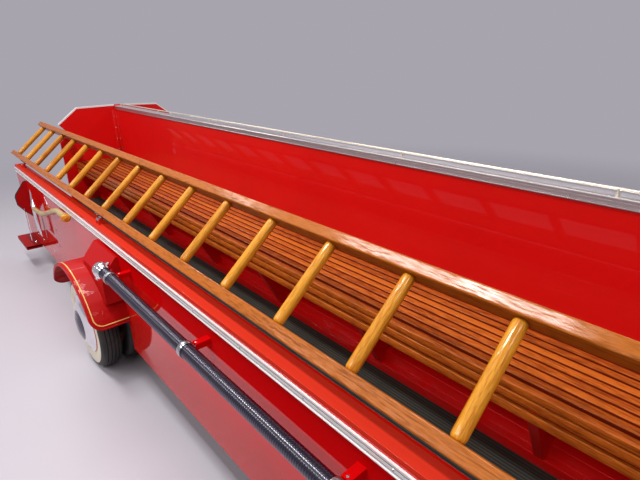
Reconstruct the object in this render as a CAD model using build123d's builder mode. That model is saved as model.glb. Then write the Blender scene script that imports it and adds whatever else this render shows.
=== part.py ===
"""A child-ride fire engine: a long open body with two outward-facing slatted benches back to back
along a central wall, a hinged wooden ladder over each foot-well, twin rear wheels and an open cab.

Units are millimetres. +X is forward, +Y is the engine's left, +Z is up. The origin is on the ground
below the middle of the whole engine. "Inner" and "outer" are distances from the centre plane."""

import os
from math import asin, cos, radians, sin, sqrt

from build123d import *

os.makedirs("parts", exist_ok=True)

SIDES = (("right", -1), ("left", 1))

# Lengthwise stations
ladder_rear_x = -3600.0
panel_rear_x = -3450.0
frame_rear_x = -3150.0
rear_bulkhead_x = -2940.0
rear_axle_x = -1390.0
front_bulkhead_x = 1560.0
door_rear_x = 1900.0
cushion_front_x = 1990.0
door_front_x = 2300.0
cowl_x = 2350.0
front_axle_x = 2750.0
nose_front_x = 3360.0
frame_front_x = 3420.0
bumper_front_x = 3600.0

# Wheels and axles
wheel_radius = 265.0
tyre_width = 115.0
rim_radius = 152.0
twin_gap = 25.0
kingpin_radius = 12.0
front_spindle_radius = 15.0
rear_spindle_radius = 20.0
bearing_gap = 0.05
seat_gap = 0.3
cap_bulge = 42.0
hub_radius = 60.0
axle_tube_radius = 38.0
differential_radius = 118.0
torque_tube_radius = 32.0
front_beam_radius = 30.0
eye_half_height = 30.0
yoke_thickness = 18.0
yoke_width = 52.0
steering_arm_length = 150.0

# Leaf springs
leaf_half_lengths = (420.0, 320.0, 230.0, 140.0)
leaf_thickness = 8.0
leaf_width = 50.0
spring_rise = 48.0
spring_eye_radius = 15.0

# Chassis frame, engine and tank
rail_inner_y = 330.0
rail_width = 50.0
rail_height = 105.0
cross_width = 60.0
cross_count = 9
cross_inset = 30.0
outrigger_width = 40.0
outrigger_height = 50.0
outrigger_offsets = (-1460.0, -860.0, 590.0, 1390.0, 2140.0, 2840.0)
engine_length = 600.0
engine_half_width = 210.0
engine_top_z = 880.0
engine_foot = 60.0
tank_half_width = 290.0
tank_depth = 120.0
tank_corner = 35.0

# Body
body_half_width = 760.0
panel_thickness = 15.0
panel_bottom_z = 200.0
arch_radius = 330.0
deck_top_z = 540.0
deck_thickness = 20.0
mat_thickness = 8.0
rail_top_z = 820.0
flange_width = 68.0
flange_thickness = 10.0
flange_lip = 26.0
flange_lip_thickness = 5.0
wall_half = 30.0
wall_top_z = 1285.0
rod_radius = 4.0
rod_post_count = 7
bulkhead_thickness = 20.0
bulkhead_rise = 11.0
shoulder_fall = 9.0
notch_gap = 11.0
notch_rise = 65.0
trim_height = 55.0
trim_drop = 28.0
trim_thickness = 6.0
wall_trim_height = 26.0
flute_radius = 3.5
house_sheet = 6.0

# Benches
seat_top_z = 870.0
slat_width = 26.0
slat_pitch = 35.5
slat_thickness = 18.0
slat_round = 3.0
slat_count = 9
slat_inset = 20.0
first_slat_y = 60.0
bench_front_y = 396.0
nose_overhang = 14.0
nose_depth = 12.0
front_slat_height = 23.0
front_slat_drops = (6.0, 42.0)
ledge_y = 280.0
ledge_height = 40.0
ledge_step = 30.0
ledge_width = 45.0
gusset_count = 8
gusset_thickness = 30.0
gusset_inset = 140.0
gusset_nose = 72.0
gusset_depth = 150.0

# Ladders
rung_pitch = 305.0
rung_count = 18
rung_radius = 18.5
rung_length = 296.0
tenon_radius = 11.0
tenon_length = 20.0
stringer_thickness = 38.0
stringer_depth = 66.0
stringer_round = 5.0
ladder_tilt = 41.0
rung_inset = 92.0
hinge_pin_radius = 6.0
hinge_stations = (-3240.0, -1370.0, 1290.0)
hinge_barrel_radius = 11.0
hinge_width = 44.0
hinge_ear_thickness = 6.0
strap_thickness = 4.0

# Suction hoses
hose_radius = 26.0
hose_rear_x = -1055.0
hose_front_gap = 115.0
coupling_length = 70.0
coupling_radius = 40.0
collar_width = 40.0
collar_thickness = 6.0
hose_bracket_count = 4
hose_bracket_width = 30.0
hose_bracket_height = 24.0

# Rear fenders
fender_radius = 385.0
fender_sheet = 6.0
fender_drop = 25.0
fender_lip = 16.0
fender_corner = 65.0
box_length = 318.0
box_start = 10.0
box_chamfer = 22.0
box_outline = ((0.0, 500.0), (0.0, 735.0), (14.0, 735.0), (86.0, 648.0), (92.0, 600.0), (92.0, 500.0))

# Fire axes and their guard plates
axe_handle_radius = 17.0
axe_knob_radius = 28.0
axe_head_thickness = 24.0
axe_handle_points = ((-2752.0, 593.0), (-2530.0, 612.0), (-2280.0, 676.0), (-2100.0, 732.0),
                     (-1960.0, 762.0), (-1790.0, 764.0))
axe_head_points = ((-2757.0, 745.0), (-2736.0, 650.0), (-2716.0, 620.0), (-2716.0, 562.0), (-2680.0, 395.0),
                   (-2750.0, 376.0), (-2830.0, 402.0), (-2790.0, 562.0), (-2790.0, 620.0), (-2772.0, 650.0))
guard_x = -3120.0
guard_thickness = 6.0
guard_outline = ((0.0, 735.0), (15.0, 735.0), (88.0, 640.0), (96.0, 618.0), (92.0, 553.0), (46.0, 486.0),
                 (0.0, 440.0))

# Rear boarding steps
step_width = 115.0
step_length = 360.0
step_thickness = 12.0
step_inset = 50.0
step_arm_width = 40.0

# Cab
cab_side_top_z = 800.0
cab_side_low_z = 300.0
door_sill_z = 600.0
door_corner = 70.0
seat_box_top_z = 740.0
seat_half_width = 395.0
cushion_thickness = 110.0
back_thickness = 105.0
back_top_z = 1180.0
cushion_round = 22.0
cowl_top_z = 1060.0
cowl_depth = 230.0
cowl_corner = 180.0
dash_half_width = 600.0
dash_depth = 60.0
column_radius = 22.0
column_length = 260.0
column_tilt = 36.0
steering_hub_x = 2170.0
steering_hub_z = 1060.0
steering_y = 210.0
steering_radius = 190.0
steering_rim_radius = 13.0
screen_offset = 45.0
screen_half_width = 540.0
screen_height = 400.0
screen_bar = 25.0
screen_thickness = 24.0
screen_rake = 12.0
glass_thickness = 6.0

# Nose, grille and lamps
hood_bottom_z = 660.0
hood_rear_half = 480.0
hood_front_half = 320.0
hood_front_top_z = 950.0
hood_corner = 150.0
hood_sheet = 8.0
grille_low_z = 590.0
grille_depth = 40.0
grille_border = 35.0
grille_bar_count = 13
grille_bar_pitch = 44.0
grille_bar_width = 14.0
lamp_rear_x = 3160.0
lamp_length = 180.0
lamp_radius = 98.0
lamp_z = 800.0
lamp_arm_radius = 14.0
tail_lamp_radius = 45.0
tail_lamp_length = 45.0
front_fender_radius = 375.0
front_fender_rise = 15.0
front_fender_inner_y = 380.0
bumper_depth = 45.0
bumper_low_z = 320.0
bumper_height = 95.0
bumper_corner = 40.0
bumper_iron = 20.0

# Tow plate
tow_plate_length = 100.0
tow_plate_half_width = 60.0
tow_plate_low_z = 460.0
tow_plate_thickness = 15.0
tow_hole_radius = 16.0
tow_hole_inset = 65.0

# Bell
bell_offset = 145.0
bell_pivot_height = 190.0
bell_pin_radius = 9.0
bell_yoke_half = 95.0
bell_yoke_thickness = 12.0

# Places that follow from the body's width and height
deck_bottom_z = deck_top_z - deck_thickness
panel_inner_y = body_half_width - panel_thickness
rail_bottom_z = deck_bottom_z - rail_height
rail_outer_y = rail_inner_y + rail_width
rail_middle_y = (rail_inner_y + rail_outer_y) / 2
axle_z = wheel_radius
rear_outer_face_y = body_half_width + 140
twin_middle_y = rear_outer_face_y - tyre_width - twin_gap / 2
twin_offset = (tyre_width + twin_gap) / 2
front_wheel_y = body_half_width - 110
kingpin_y = front_wheel_y - 115
house_inner_y = rear_outer_face_y - 2 * tyre_width - twin_gap - 25
house_half_length = wheel_radius + 70
house_top_z = 2 * wheel_radius + 85
wing_y = body_half_width - 270
shoulder_y = wing_y - 164
ladder_foot_y = body_half_width - 64
ladder_foot_z = rail_top_z + 74
hinge_y = body_half_width - 30
hinge_z = rail_top_z + 22
hose_y = body_half_width + 90
hose_z = rail_top_z - 118
hose_front_x = front_bulkhead_x - hose_front_gap
hose_length = hose_front_x - hose_rear_x
fender_outer_y = rear_outer_face_y + 40
fender_end_z = wheel_radius + 120
axe_y = body_half_width + 40
front_fender_outer_y = body_half_width + 40
cab_rear_x = front_bulkhead_x + bulkhead_thickness
engine_rear_x = cowl_x + cowl_depth + 20
engine_low_z = axle_z + 65
slat_low_z = seat_top_z - slat_thickness
slat_run = (rear_bulkhead_x + slat_inset, front_bulkhead_x - slat_inset)


def block(x, y, z, mode=Mode.ADD):
    """A box between two corners, given as a (low, high) pair on each axis."""
    with Locations(((x[0] + x[1]) / 2, (y[0] + y[1]) / 2, (z[0] + z[1]) / 2)):
        Box(x[1] - x[0], y[1] - y[0], z[1] - z[0], mode=mode)


def across(side, inner, outer):
    """The (low, high) pair on Y of a span given by its inner and outer distance."""
    return tuple(sorted((side * inner, side * outer)))


def rod(start, end, radius, mode=Mode.ADD):
    """A round bar between two points."""
    run = Vector(*end) - Vector(*start)
    with BuildSketch(Plane(origin=start, z_dir=run)) as end_face:
        Circle(radius)
    extrude(end_face.sketch, amount=run.length, mode=mode)


def section(x, side, points, length, mode=Mode.ADD):
    """A cross-section given as (outward, up) points, extruded forward from x."""
    with BuildSketch(Plane(origin=(x, 0, 0), x_dir=(0, side, 0), z_dir=(side, 0, 0))) as outline:
        with BuildLine():
            Polyline(*points, close=True)
        make_face()
    extrude(outline.sketch, amount=side * length, mode=mode)


def side_view(y, side, points, thickness, mode=Mode.ADD):
    """A side view given as (x, z) points, extruded outward from a distance y."""
    with BuildSketch(Plane(origin=(0, side * y, 0), x_dir=(1, 0, 0), z_dir=(0, -1, 0))) as outline:
        with BuildLine():
            Polyline(*points, close=True)
        make_face()
    extrude(outline.sketch, amount=-side * thickness, mode=mode)


def finish(builder, name):
    """Label a finished piece and write it."""
    builder.part.label = name
    export_step(builder.part, f"parts/{name}.step")


def long_bar(run, y, z, corner):
    """A lengthwise bar with rounded long edges, given by (low, high) pairs on each axis."""
    with BuildSketch(Plane(origin=(run[0], 0, 0), x_dir=(0, 1, 0), z_dir=(1, 0, 0))) as end_face:
        with Locations(((y[0] + y[1]) / 2, (z[0] + z[1]) / 2)):
            RectangleRounded(y[1] - y[0], z[1] - z[0], corner)
    extrude(end_face.sketch, amount=run[1] - run[0])


def side_plane(x, y, z):
    """A drawing plane parallel to the engine's side: forward is right and up is up."""
    return Plane(origin=(x, y, z), x_dir=(1, 0, 0), z_dir=(0, -1, 0))


def ladder_point(along, out):
    """(outward, up) of a point in a ladder's own section: along its rungs, and above its plane."""
    tilt = radians(ladder_tilt)
    return (ladder_foot_y - along * cos(tilt) + out * sin(tilt),
            ladder_foot_z + along * sin(tilt) + out * cos(tilt))


def ladder_rod(x, side, start, end, radius, mode=Mode.ADD):
    """A round bar that runs along a ladder's rungs."""
    low = ladder_point(start, 0)
    high = ladder_point(end, 0)
    rod((x, side * low[0], low[1]), (x, side * high[0], high[1]), radius, mode)


def hood_half(x):
    """Half the hood's width at a station."""
    share = (x - cowl_x - cowl_depth) / (nose_front_x - cowl_x - cowl_depth)
    return hood_rear_half + share * (hood_front_half - hood_rear_half)


# Chassis frame: two box rails, cross-members and outriggers below the deck
first_cross_x = frame_rear_x + cross_inset
last_cross_x = frame_front_x - 170
cross_pitch = (last_cross_x - first_cross_x) / (cross_count - 1)
with BuildPart() as frame:
    for _, side in SIDES:
        block((frame_rear_x, frame_front_x), across(side, rail_inner_y, rail_outer_y),
              (rail_bottom_z, deck_bottom_z))
        for offset in outrigger_offsets:
            x = rear_axle_x + offset
            block((x - outrigger_width / 2, x + outrigger_width / 2), across(side, rail_outer_y, panel_inner_y),
                  (deck_bottom_z - outrigger_height, deck_bottom_z))
    for index in range(cross_count):
        x = first_cross_x + index * cross_pitch
        block((x - cross_width / 2, x + cross_width / 2), (-rail_inner_y, rail_inner_y),
              (rail_bottom_z + 20, deck_bottom_z - 15))
finish(frame, "chassis_frame")

# Engine, one plain block between the rails
with BuildPart() as engine:
    block((engine_rear_x, engine_rear_x + engine_length), (-engine_half_width, engine_half_width),
          (engine_low_z, engine_top_z))
    foot_x = engine_rear_x + engine_length / 2
    block((foot_x - engine_foot / 2, foot_x + engine_foot / 2), (-rail_inner_y, rail_inner_y),
          (rail_bottom_z + 30, rail_bottom_z + 60))
finish(engine, "engine_block")

# Fuel tank, hung below the first two cross-members
with BuildPart() as tank:
    block((first_cross_x - cross_width / 2, first_cross_x + cross_pitch + cross_width / 2),
          (-tank_half_width, tank_half_width), (rail_bottom_z + 20 - tank_depth, rail_bottom_z + 20))
    fillet(tank.edges().filter_by(Axis.Y).group_by(Axis.Z)[0], tank_corner)
finish(tank, "fuel_tank")

# Rear axle: tube, round differential housing, torque tube and spindles
rear_hub_inner = twin_offset + 50
with BuildPart() as rear_axle:
    tube_end_y = twin_middle_y - rear_hub_inner - 2
    rod((rear_axle_x, -tube_end_y, axle_z), (rear_axle_x, tube_end_y, axle_z), axle_tube_radius)
    spindle_y = twin_middle_y + twin_offset + 40
    rod((rear_axle_x, -spindle_y, axle_z), (rear_axle_x, spindle_y, axle_z), rear_spindle_radius)
    with Locations((rear_axle_x, 0, axle_z)):
        Sphere(differential_radius)
    rod((rear_axle_x, 0, axle_z), (engine_rear_x - 2, 0, engine_low_z + 35), torque_tube_radius)
finish(rear_axle, "rear_axle")

# Front axle: a beam with a kingpin eye at each end
with BuildPart() as front_axle:
    rod((front_axle_x, -kingpin_y, axle_z), (front_axle_x, kingpin_y, axle_z), front_beam_radius)
    for _, side in SIDES:
        with Locations((front_axle_x, side * kingpin_y, axle_z)):
            Cylinder(front_beam_radius - 2, 2 * eye_half_height)
            Cylinder(kingpin_radius + bearing_gap, 4 * eye_half_height, mode=Mode.SUBTRACT)
finish(front_axle, "front_axle")

# Leaf springs: four leaves a side on each axle, eyes and hangers up to the rails
with BuildPart() as springs:
    for axle_x, tube_radius in ((rear_axle_x, axle_tube_radius), (front_axle_x, front_beam_radius)):
        pack_top_z = axle_z + tube_radius + seat_gap + len(leaf_half_lengths) * leaf_thickness
        half = leaf_half_lengths[0]
        bow_radius = (half ** 2 + spring_rise ** 2) / (2 * spring_rise)
        for _, side in SIDES:
            for leaf, reach in enumerate(leaf_half_lengths):
                top = bow_radius + leaf * leaf_thickness
                with BuildSketch(side_plane(axle_x, side * (rail_middle_y + leaf_width / 2), 0)):
                    with Locations((0, pack_top_z + bow_radius)):
                        Circle(top + leaf_thickness)
                        Circle(top, mode=Mode.SUBTRACT)
                    with Locations((0, pack_top_z)):
                        Rectangle(2 * reach, 4 * spring_rise, mode=Mode.INTERSECT)
                extrude(amount=leaf_width * side)
            for end in (-1, 1):
                eye_x = axle_x + end * half
                eye_z = pack_top_z + spring_rise + 2
                rod((eye_x, side * rail_inner_y, eye_z), (eye_x, side * rail_outer_y, eye_z), spring_eye_radius)
                block((eye_x - 12, eye_x + 12), across(side, rail_inner_y, rail_outer_y), (eye_z, rail_bottom_z))
finish(springs, "leaf_springs")

# Deck with a raised house over each inner tyre
with BuildPart() as deck:
    block((rear_bulkhead_x, front_bulkhead_x), (-panel_inner_y, panel_inner_y), (deck_bottom_z, deck_top_z))
    for _, side in SIDES:
        house = (rear_axle_x - house_half_length, rear_axle_x + house_half_length)
        block(house, across(side, house_inner_y, panel_inner_y), (deck_bottom_z, house_top_z))
        block((house[0] + house_sheet, house[1] - house_sheet),
              across(side, house_inner_y + house_sheet, panel_inner_y),
              (deck_bottom_z, house_top_z - house_sheet), mode=Mode.SUBTRACT)
finish(deck, "deck")

with BuildPart() as mats:
    for _, side in SIDES:
        block((rear_bulkhead_x + 5, front_bulkhead_x - 5), across(side, ledge_y + 1, house_inner_y - 6),
              (deck_top_z, deck_top_z + mat_thickness))
finish(mats, "floor_mats")

# Central wall that both benches lean on
with BuildPart() as wall:
    block((rear_bulkhead_x, front_bulkhead_x), (-wall_half, wall_half), (deck_top_z, wall_top_z))
finish(wall, "central_wall")

# Fluted bright strips along the wall's top edges and the outer faces of the side panels
with BuildPart() as trims:
    strips = ((rear_bulkhead_x, wall_half, wall_top_z - wall_trim_height, wall_trim_height),
              (panel_rear_x, body_half_width, rail_top_z - trim_drop - trim_height, trim_height))
    for _, side in SIDES:
        for start_x, inner, low_z, height in strips:
            face_y = side * (inner + trim_thickness)
            block((start_x, front_bulkhead_x), across(side, inner, inner + trim_thickness),
                  (low_z, low_z + height))
            for step in (-1, 0, 1):
                z = low_z + height / 2 + step * height * 0.27
                rod((start_x, face_y, z), (front_bulkhead_x, face_y, z), flute_radius, mode=Mode.SUBTRACT)
finish(trims, "trim_strips")

# Straight rod on small posts above the wall
rod_z = wall_top_z + 18
with BuildPart() as signal_rod:
    rod((rear_bulkhead_x + 30, 0, rod_z), (front_bulkhead_x - 30, 0, rod_z), rod_radius)
    post_pitch = (front_bulkhead_x - rear_bulkhead_x - 120) / (rod_post_count - 1)
    for index in range(rod_post_count):
        x = rear_bulkhead_x + 60 + index * post_pitch
        rod((x, 0, wall_top_z), (x, 0, rod_z), rod_radius + 1)
finish(signal_rod, "signal_rod")

# Bench slats: flat seat slats, a nose slat and two slats down the front
with BuildPart() as slats:
    for _, side in SIDES:
        for index in range(slat_count):
            y = first_slat_y + index * slat_pitch
            long_bar(slat_run, across(side, y, y + slat_width), (slat_low_z, seat_top_z), slat_round)
        long_bar(slat_run, across(side, bench_front_y - nose_depth, bench_front_y + nose_overhang),
                 (slat_low_z, seat_top_z), 2 * slat_round)
        for drop in front_slat_drops:
            long_bar(slat_run, across(side, bench_front_y, bench_front_y + nose_overhang),
                     (slat_low_z - drop - front_slat_height, slat_low_z - drop), slat_round)
finish(slats, "bench_slats")

# Bench frames: gussets under the slats and two stepped kick boards on the deck
with BuildPart() as bench_frames:
    step_y = ledge_y - ledge_step
    board_top_z = deck_top_z + ledge_height
    gusset_pitch = (slat_run[1] - slat_run[0] - 2 * gusset_inset) / (gusset_count - 1)
    for _, side in SIDES:
        block(slat_run, across(side, ledge_y - ledge_width, ledge_y), (deck_top_z, board_top_z))
        block(slat_run, across(side, step_y - ledge_width, step_y), (board_top_z - 10, board_top_z + ledge_height))
        for index in range(gusset_count):
            x = slat_run[0] + gusset_inset + index * gusset_pitch
            section(x - gusset_thickness / 2, side,
                    ((wall_half, slat_low_z), (bench_front_y, slat_low_z), (bench_front_y, slat_low_z - gusset_nose),
                     (ledge_y, board_top_z), (ledge_y - ledge_width, deck_top_z),
                     (step_y - ledge_width, board_top_z + ledge_height), (wall_half, slat_low_z - gusset_depth)),
                    gusset_thickness)
finish(bench_frames, "bench_frames")

# Bulkheads: a sloping shoulder over the benches, with a notch that the ladder's upper side lies in
bulkhead_top_z = wall_top_z + bulkhead_rise
rest_face = -stringer_depth / 2 - seat_gap
notch_along = rung_length + stringer_thickness + notch_gap
wing_along = (ladder_foot_y + rest_face * sin(radians(ladder_tilt)) - wing_y) / cos(radians(ladder_tilt))
for name, x in (("rear_bulkhead", rear_bulkhead_x - bulkhead_thickness), ("front_bulkhead", front_bulkhead_x)):
    with BuildPart() as bulkhead:
        for _, side in SIDES:
            section(x, side, ((0, deck_top_z), (wing_y, deck_top_z), ladder_point(wing_along, rest_face),
                              ladder_point(notch_along, rest_face), ladder_point(notch_along, notch_rise),
                              (shoulder_y, bulkhead_top_z - shoulder_fall), (0, bulkhead_top_z)),
                    bulkhead_thickness)
        if name == "front_bulkhead":
            block((x, x + bulkhead_thickness), (-panel_inner_y, panel_inner_y), (deck_top_z, cab_side_top_z))
    finish(bulkhead, name)

# Side panels: one sheet with a top flange, wheel arch, hinge ears, hose and axe brackets
ladder_length = rung_pitch * (rung_count - 1) + 2 * rung_inset
bracket_pitch = (hose_length - 280) / (hose_bracket_count - 1)
hose_brackets = [hose_rear_x + 140 + index * bracket_pitch for index in range(hose_bracket_count)]
axe_brackets = (axe_handle_points[1], axe_handle_points[2])
flange_inner_y = body_half_width - flange_width
ear_half = hinge_barrel_radius + 3
for name, side in SIDES:
    with BuildPart() as panel:
        block((panel_rear_x, front_bulkhead_x), across(side, panel_inner_y, body_half_width),
              (panel_bottom_z, rail_top_z))
        rod((rear_axle_x, side * (panel_inner_y - 1), axle_z), (rear_axle_x, side * (body_half_width + 1), axle_z),
            arch_radius, mode=Mode.SUBTRACT)
        block((rear_axle_x - arch_radius, rear_axle_x + arch_radius),
              across(side, panel_inner_y - 1, body_half_width + 1), (0, axle_z), mode=Mode.SUBTRACT)
        block((panel_rear_x, front_bulkhead_x), across(side, flange_inner_y, panel_inner_y),
              (rail_top_z - flange_thickness, rail_top_z))
        block((panel_rear_x, front_bulkhead_x), across(side, flange_inner_y, flange_inner_y + flange_lip_thickness),
              (rail_top_z - flange_lip, rail_top_z))
        for x in hinge_stations:
            for offset in (-hinge_width / 2, hinge_width / 2 - hinge_ear_thickness):
                section(x + offset, side, ((hinge_y - ear_half, rail_top_z), (hinge_y + ear_half, rail_top_z),
                                           (hinge_y + ear_half - 2, hinge_z + 4), (hinge_y + 5, hinge_z + 11),
                                           (hinge_y - 5, hinge_z + 11), (hinge_y - ear_half + 2, hinge_z + 4)),
                        hinge_ear_thickness)
            rod((x - hinge_width / 2, side * hinge_y, hinge_z), (x + hinge_width / 2, side * hinge_y, hinge_z),
                hinge_pin_radius)
        for x, z in axe_brackets:
            block((x - 14, x + 14), across(side, body_half_width, axe_y - axe_handle_radius - seat_gap),
                  (z - 14, z + 14))
        for x in hose_brackets:
            block((x - hose_bracket_width / 2, x + hose_bracket_width / 2),
                  across(side, body_half_width, hose_y - hose_radius - collar_thickness),
                  (hose_z - hose_bracket_height / 2, hose_z + hose_bracket_height / 2))
    finish(panel, f"side_panel_{name}")

# Ladders: two stringers, round rungs with tenons, and hinge straps
pin_along = (-(hinge_y - ladder_foot_y) * cos(radians(ladder_tilt))
             + (hinge_z - ladder_foot_z) * sin(radians(ladder_tilt)))
pin_out = ((hinge_y - ladder_foot_y) * sin(radians(ladder_tilt))
           + (hinge_z - ladder_foot_z) * cos(radians(ladder_tilt)))
rung_stations = [ladder_rear_x + rung_inset + index * rung_pitch for index in range(rung_count)]
for name, side in SIDES:
    with BuildPart() as stringers:
        for start in (-stringer_thickness, rung_length):
            middle = ladder_point(start + stringer_thickness / 2, 0)
            with BuildSketch(Plane(origin=(ladder_rear_x, side * middle[0], middle[1]),
                                   x_dir=(0, -side * cos(radians(ladder_tilt)), sin(radians(ladder_tilt))),
                                   z_dir=(1, 0, 0))):
                RectangleRounded(stringer_thickness, stringer_depth, stringer_round)
            extrude(amount=ladder_length)
        for x in rung_stations:
            ladder_rod(x, side, -tenon_length - 0.5, rung_length + tenon_length + 0.5, tenon_radius + seat_gap,
                       Mode.SUBTRACT)
    finish(stringers, f"ladder_stringers_{name}")

    with BuildPart() as rungs:
        for x in rung_stations:
            ladder_rod(x, side, -tenon_length, rung_length + tenon_length, tenon_radius)
            ladder_rod(x, side, seat_gap, rung_length - seat_gap, rung_radius)
    finish(rungs, f"ladder_rungs_{name}")

    with BuildPart() as straps:
        half = hinge_width / 2 - hinge_ear_thickness - 0.5
        face = -stringer_thickness
        for x in hinge_stations:
            section(x - half, side, (ladder_point(face, pin_out - 6), ladder_point(face, 22),
                                     ladder_point(face - strap_thickness, 22),
                                     ladder_point(face - strap_thickness, pin_out + 7),
                                     ladder_point(pin_along, pin_out + 7), ladder_point(pin_along, pin_out - 6)),
                    2 * half)
            rod((x - half, side * hinge_y, hinge_z), (x + half, side * hinge_y, hinge_z), hinge_barrel_radius)
            rod((x - half - 1, side * hinge_y, hinge_z), (x + half + 1, side * hinge_y, hinge_z),
                hinge_pin_radius + bearing_gap, mode=Mode.SUBTRACT)
    finish(straps, f"ladder_hinges_{name}")

# Suction hoses and their bright fittings
with BuildPart() as hoses:
    for _, side in SIDES:
        rod((hose_rear_x + 10, side * hose_y, hose_z), (hose_front_x - 10, side * hose_y, hose_z), hose_radius)
finish(hoses, "suction_hoses")

with BuildPart() as fittings:
    for _, side in SIDES:
        for end_x, inward in ((hose_rear_x, 1), (hose_front_x, -1)):
            rod((end_x, side * hose_y, hose_z), (end_x + inward * coupling_length, side * hose_y, hose_z),
                coupling_radius)
            rod((end_x + inward * (10 - seat_gap), side * hose_y, hose_z),
                (end_x + inward * (coupling_length + 1), side * hose_y, hose_z),
                hose_radius + seat_gap, mode=Mode.SUBTRACT)
        for x in hose_brackets:
            rod((x - collar_width / 2, side * hose_y, hose_z), (x + collar_width / 2, side * hose_y, hose_z),
                hose_radius + collar_thickness - seat_gap)
            rod((x - collar_width, side * hose_y, hose_z), (x + collar_width, side * hose_y, hose_z),
                hose_radius + seat_gap, mode=Mode.SUBTRACT)
finish(fittings, "hose_fittings")

# Rear fenders: an arched sheet with a turned-down edge, rounded ends and a wedge box up to the trim
fender_z = axle_z - fender_drop
fender_edge_y = fender_outer_y + fender_sheet
with BuildPart() as fenders:
    for _, side in SIDES:
        box_x = rear_axle_x + box_start
        box_outer = body_half_width + box_outline[4][0]
        section(box_x, side, [(body_half_width + out, up) for out, up in box_outline], box_length)
        with BuildSketch(Plane.XY.offset(box_outline[0][1] - 1)):
            with BuildLine():
                Polyline((box_x - 1, side * (box_outer - box_chamfer)), (box_x + box_chamfer, side * (box_outer + 1)),
                         (box_x - 1, side * (box_outer + 1)), close=True)
            make_face()
        extrude(amount=200, mode=Mode.SUBTRACT)
        rod((rear_axle_x, side * (body_half_width - 1), fender_z), (rear_axle_x, side * (box_outer + 1), fender_z),
            fender_radius - fender_sheet / 2, mode=Mode.SUBTRACT)
        for start_y, depth, width in ((body_half_width, fender_sheet, fender_outer_y - body_half_width),
                                      (fender_outer_y, fender_lip, fender_sheet)):
            with BuildSketch(side_plane(rear_axle_x, side * start_y, fender_z)):
                Circle(fender_radius)
                Circle(fender_radius - depth, mode=Mode.SUBTRACT)
                with Locations((0, fender_end_z - fender_z + fender_radius)):
                    Rectangle(2 * fender_radius + 2, 2 * fender_radius, mode=Mode.INTERSECT)
            extrude(amount=-side * width)
        with BuildSketch(Plane(origin=(rear_axle_x - side * (fender_radius + 1), 0, 0), x_dir=(0, side, 0),
                               z_dir=(side, 0, 0))):
            with Locations((fender_edge_y - fender_corner / 2 + 6, fender_end_z + fender_corner / 2 - 6)):
                Rectangle(fender_corner + 10, fender_corner + 10)
            with Locations((fender_edge_y - fender_corner + 1, fender_end_z + fender_corner - 1)):
                Circle(fender_corner, mode=Mode.SUBTRACT)
        extrude(amount=2 * (fender_radius + 1), mode=Mode.SUBTRACT)
finish(fenders, "rear_fenders")

# Fire axes: a curved handle with a knob, and a head with its pick up and its blade down
with BuildPart() as axes:
    for _, side in SIDES:
        with BuildLine() as handle_line:
            Spline(*((x, side * axe_y, z) for x, z in axe_handle_points))
        with BuildSketch(Plane(origin=handle_line.line @ 0, z_dir=handle_line.line % 0)) as handle_end:
            Circle(axe_handle_radius)
        sweep(handle_end.sketch, path=handle_line.line)
        with Locations((axe_handle_points[-1][0], side * axe_y, axe_handle_points[-1][1])):
            Sphere(axe_knob_radius)
        side_view(axe_y - axe_head_thickness / 2, side, axe_head_points, axe_head_thickness)
finish(axes, "fire_axes")

# Rear boarding steps hung from the frame, and the guard plates behind the axe heads
with BuildPart() as steps:
    step_top_z = panel_bottom_z + step_thickness
    arm_x = frame_rear_x + 10
    for _, side in SIDES:
        block((panel_rear_x + step_inset, panel_rear_x + step_inset + step_length),
              across(side, body_half_width, body_half_width + step_width), (panel_bottom_z, step_top_z))
        block((arm_x, arm_x + step_arm_width), across(side, rail_inner_y, body_half_width + 40),
              (panel_bottom_z - step_thickness, panel_bottom_z))
        block((arm_x, arm_x + step_arm_width), across(side, rail_inner_y, rail_outer_y),
              (panel_bottom_z - step_thickness, rail_bottom_z))
        section(guard_x, side, [(body_half_width + out, up) for out, up in guard_outline], guard_thickness)
finish(steps, "rear_steps")

# Cab tub: floor, low sides with door dips and the seat box
with BuildPart() as tub:
    block((cab_rear_x, cowl_x), (-body_half_width, body_half_width), (cab_side_low_z, cab_side_top_z))
    block((cab_rear_x, cowl_x), (-panel_inner_y, panel_inner_y), (deck_top_z, cab_side_top_z), mode=Mode.SUBTRACT)
    block((cab_rear_x, cowl_x), (-panel_inner_y, panel_inner_y), (cab_side_low_z, deck_bottom_z),
          mode=Mode.SUBTRACT)
    with BuildSketch(side_plane((door_rear_x + door_front_x) / 2, body_half_width, cab_side_top_z)):
        RectangleRounded(door_front_x - door_rear_x, 2 * (cab_side_top_z - door_sill_z), door_corner)
    extrude(amount=2 * body_half_width, mode=Mode.SUBTRACT)
    block((cab_rear_x, cushion_front_x - 20), (-seat_half_width, seat_half_width), (deck_top_z, seat_box_top_z))
finish(tub, "cab_tub")

with BuildPart() as seat:
    for rear_x, front_x, top_z in (
            (cab_rear_x + back_thickness + 5, cushion_front_x, seat_box_top_z + cushion_thickness),
            (cab_rear_x + seat_gap, cab_rear_x + back_thickness, back_top_z)):
        block((rear_x, front_x), (-seat_half_width, seat_half_width), (seat_box_top_z + seat_gap, top_z))
    fillet(seat.edges(), cushion_round)
finish(seat, "cab_seat")

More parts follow.
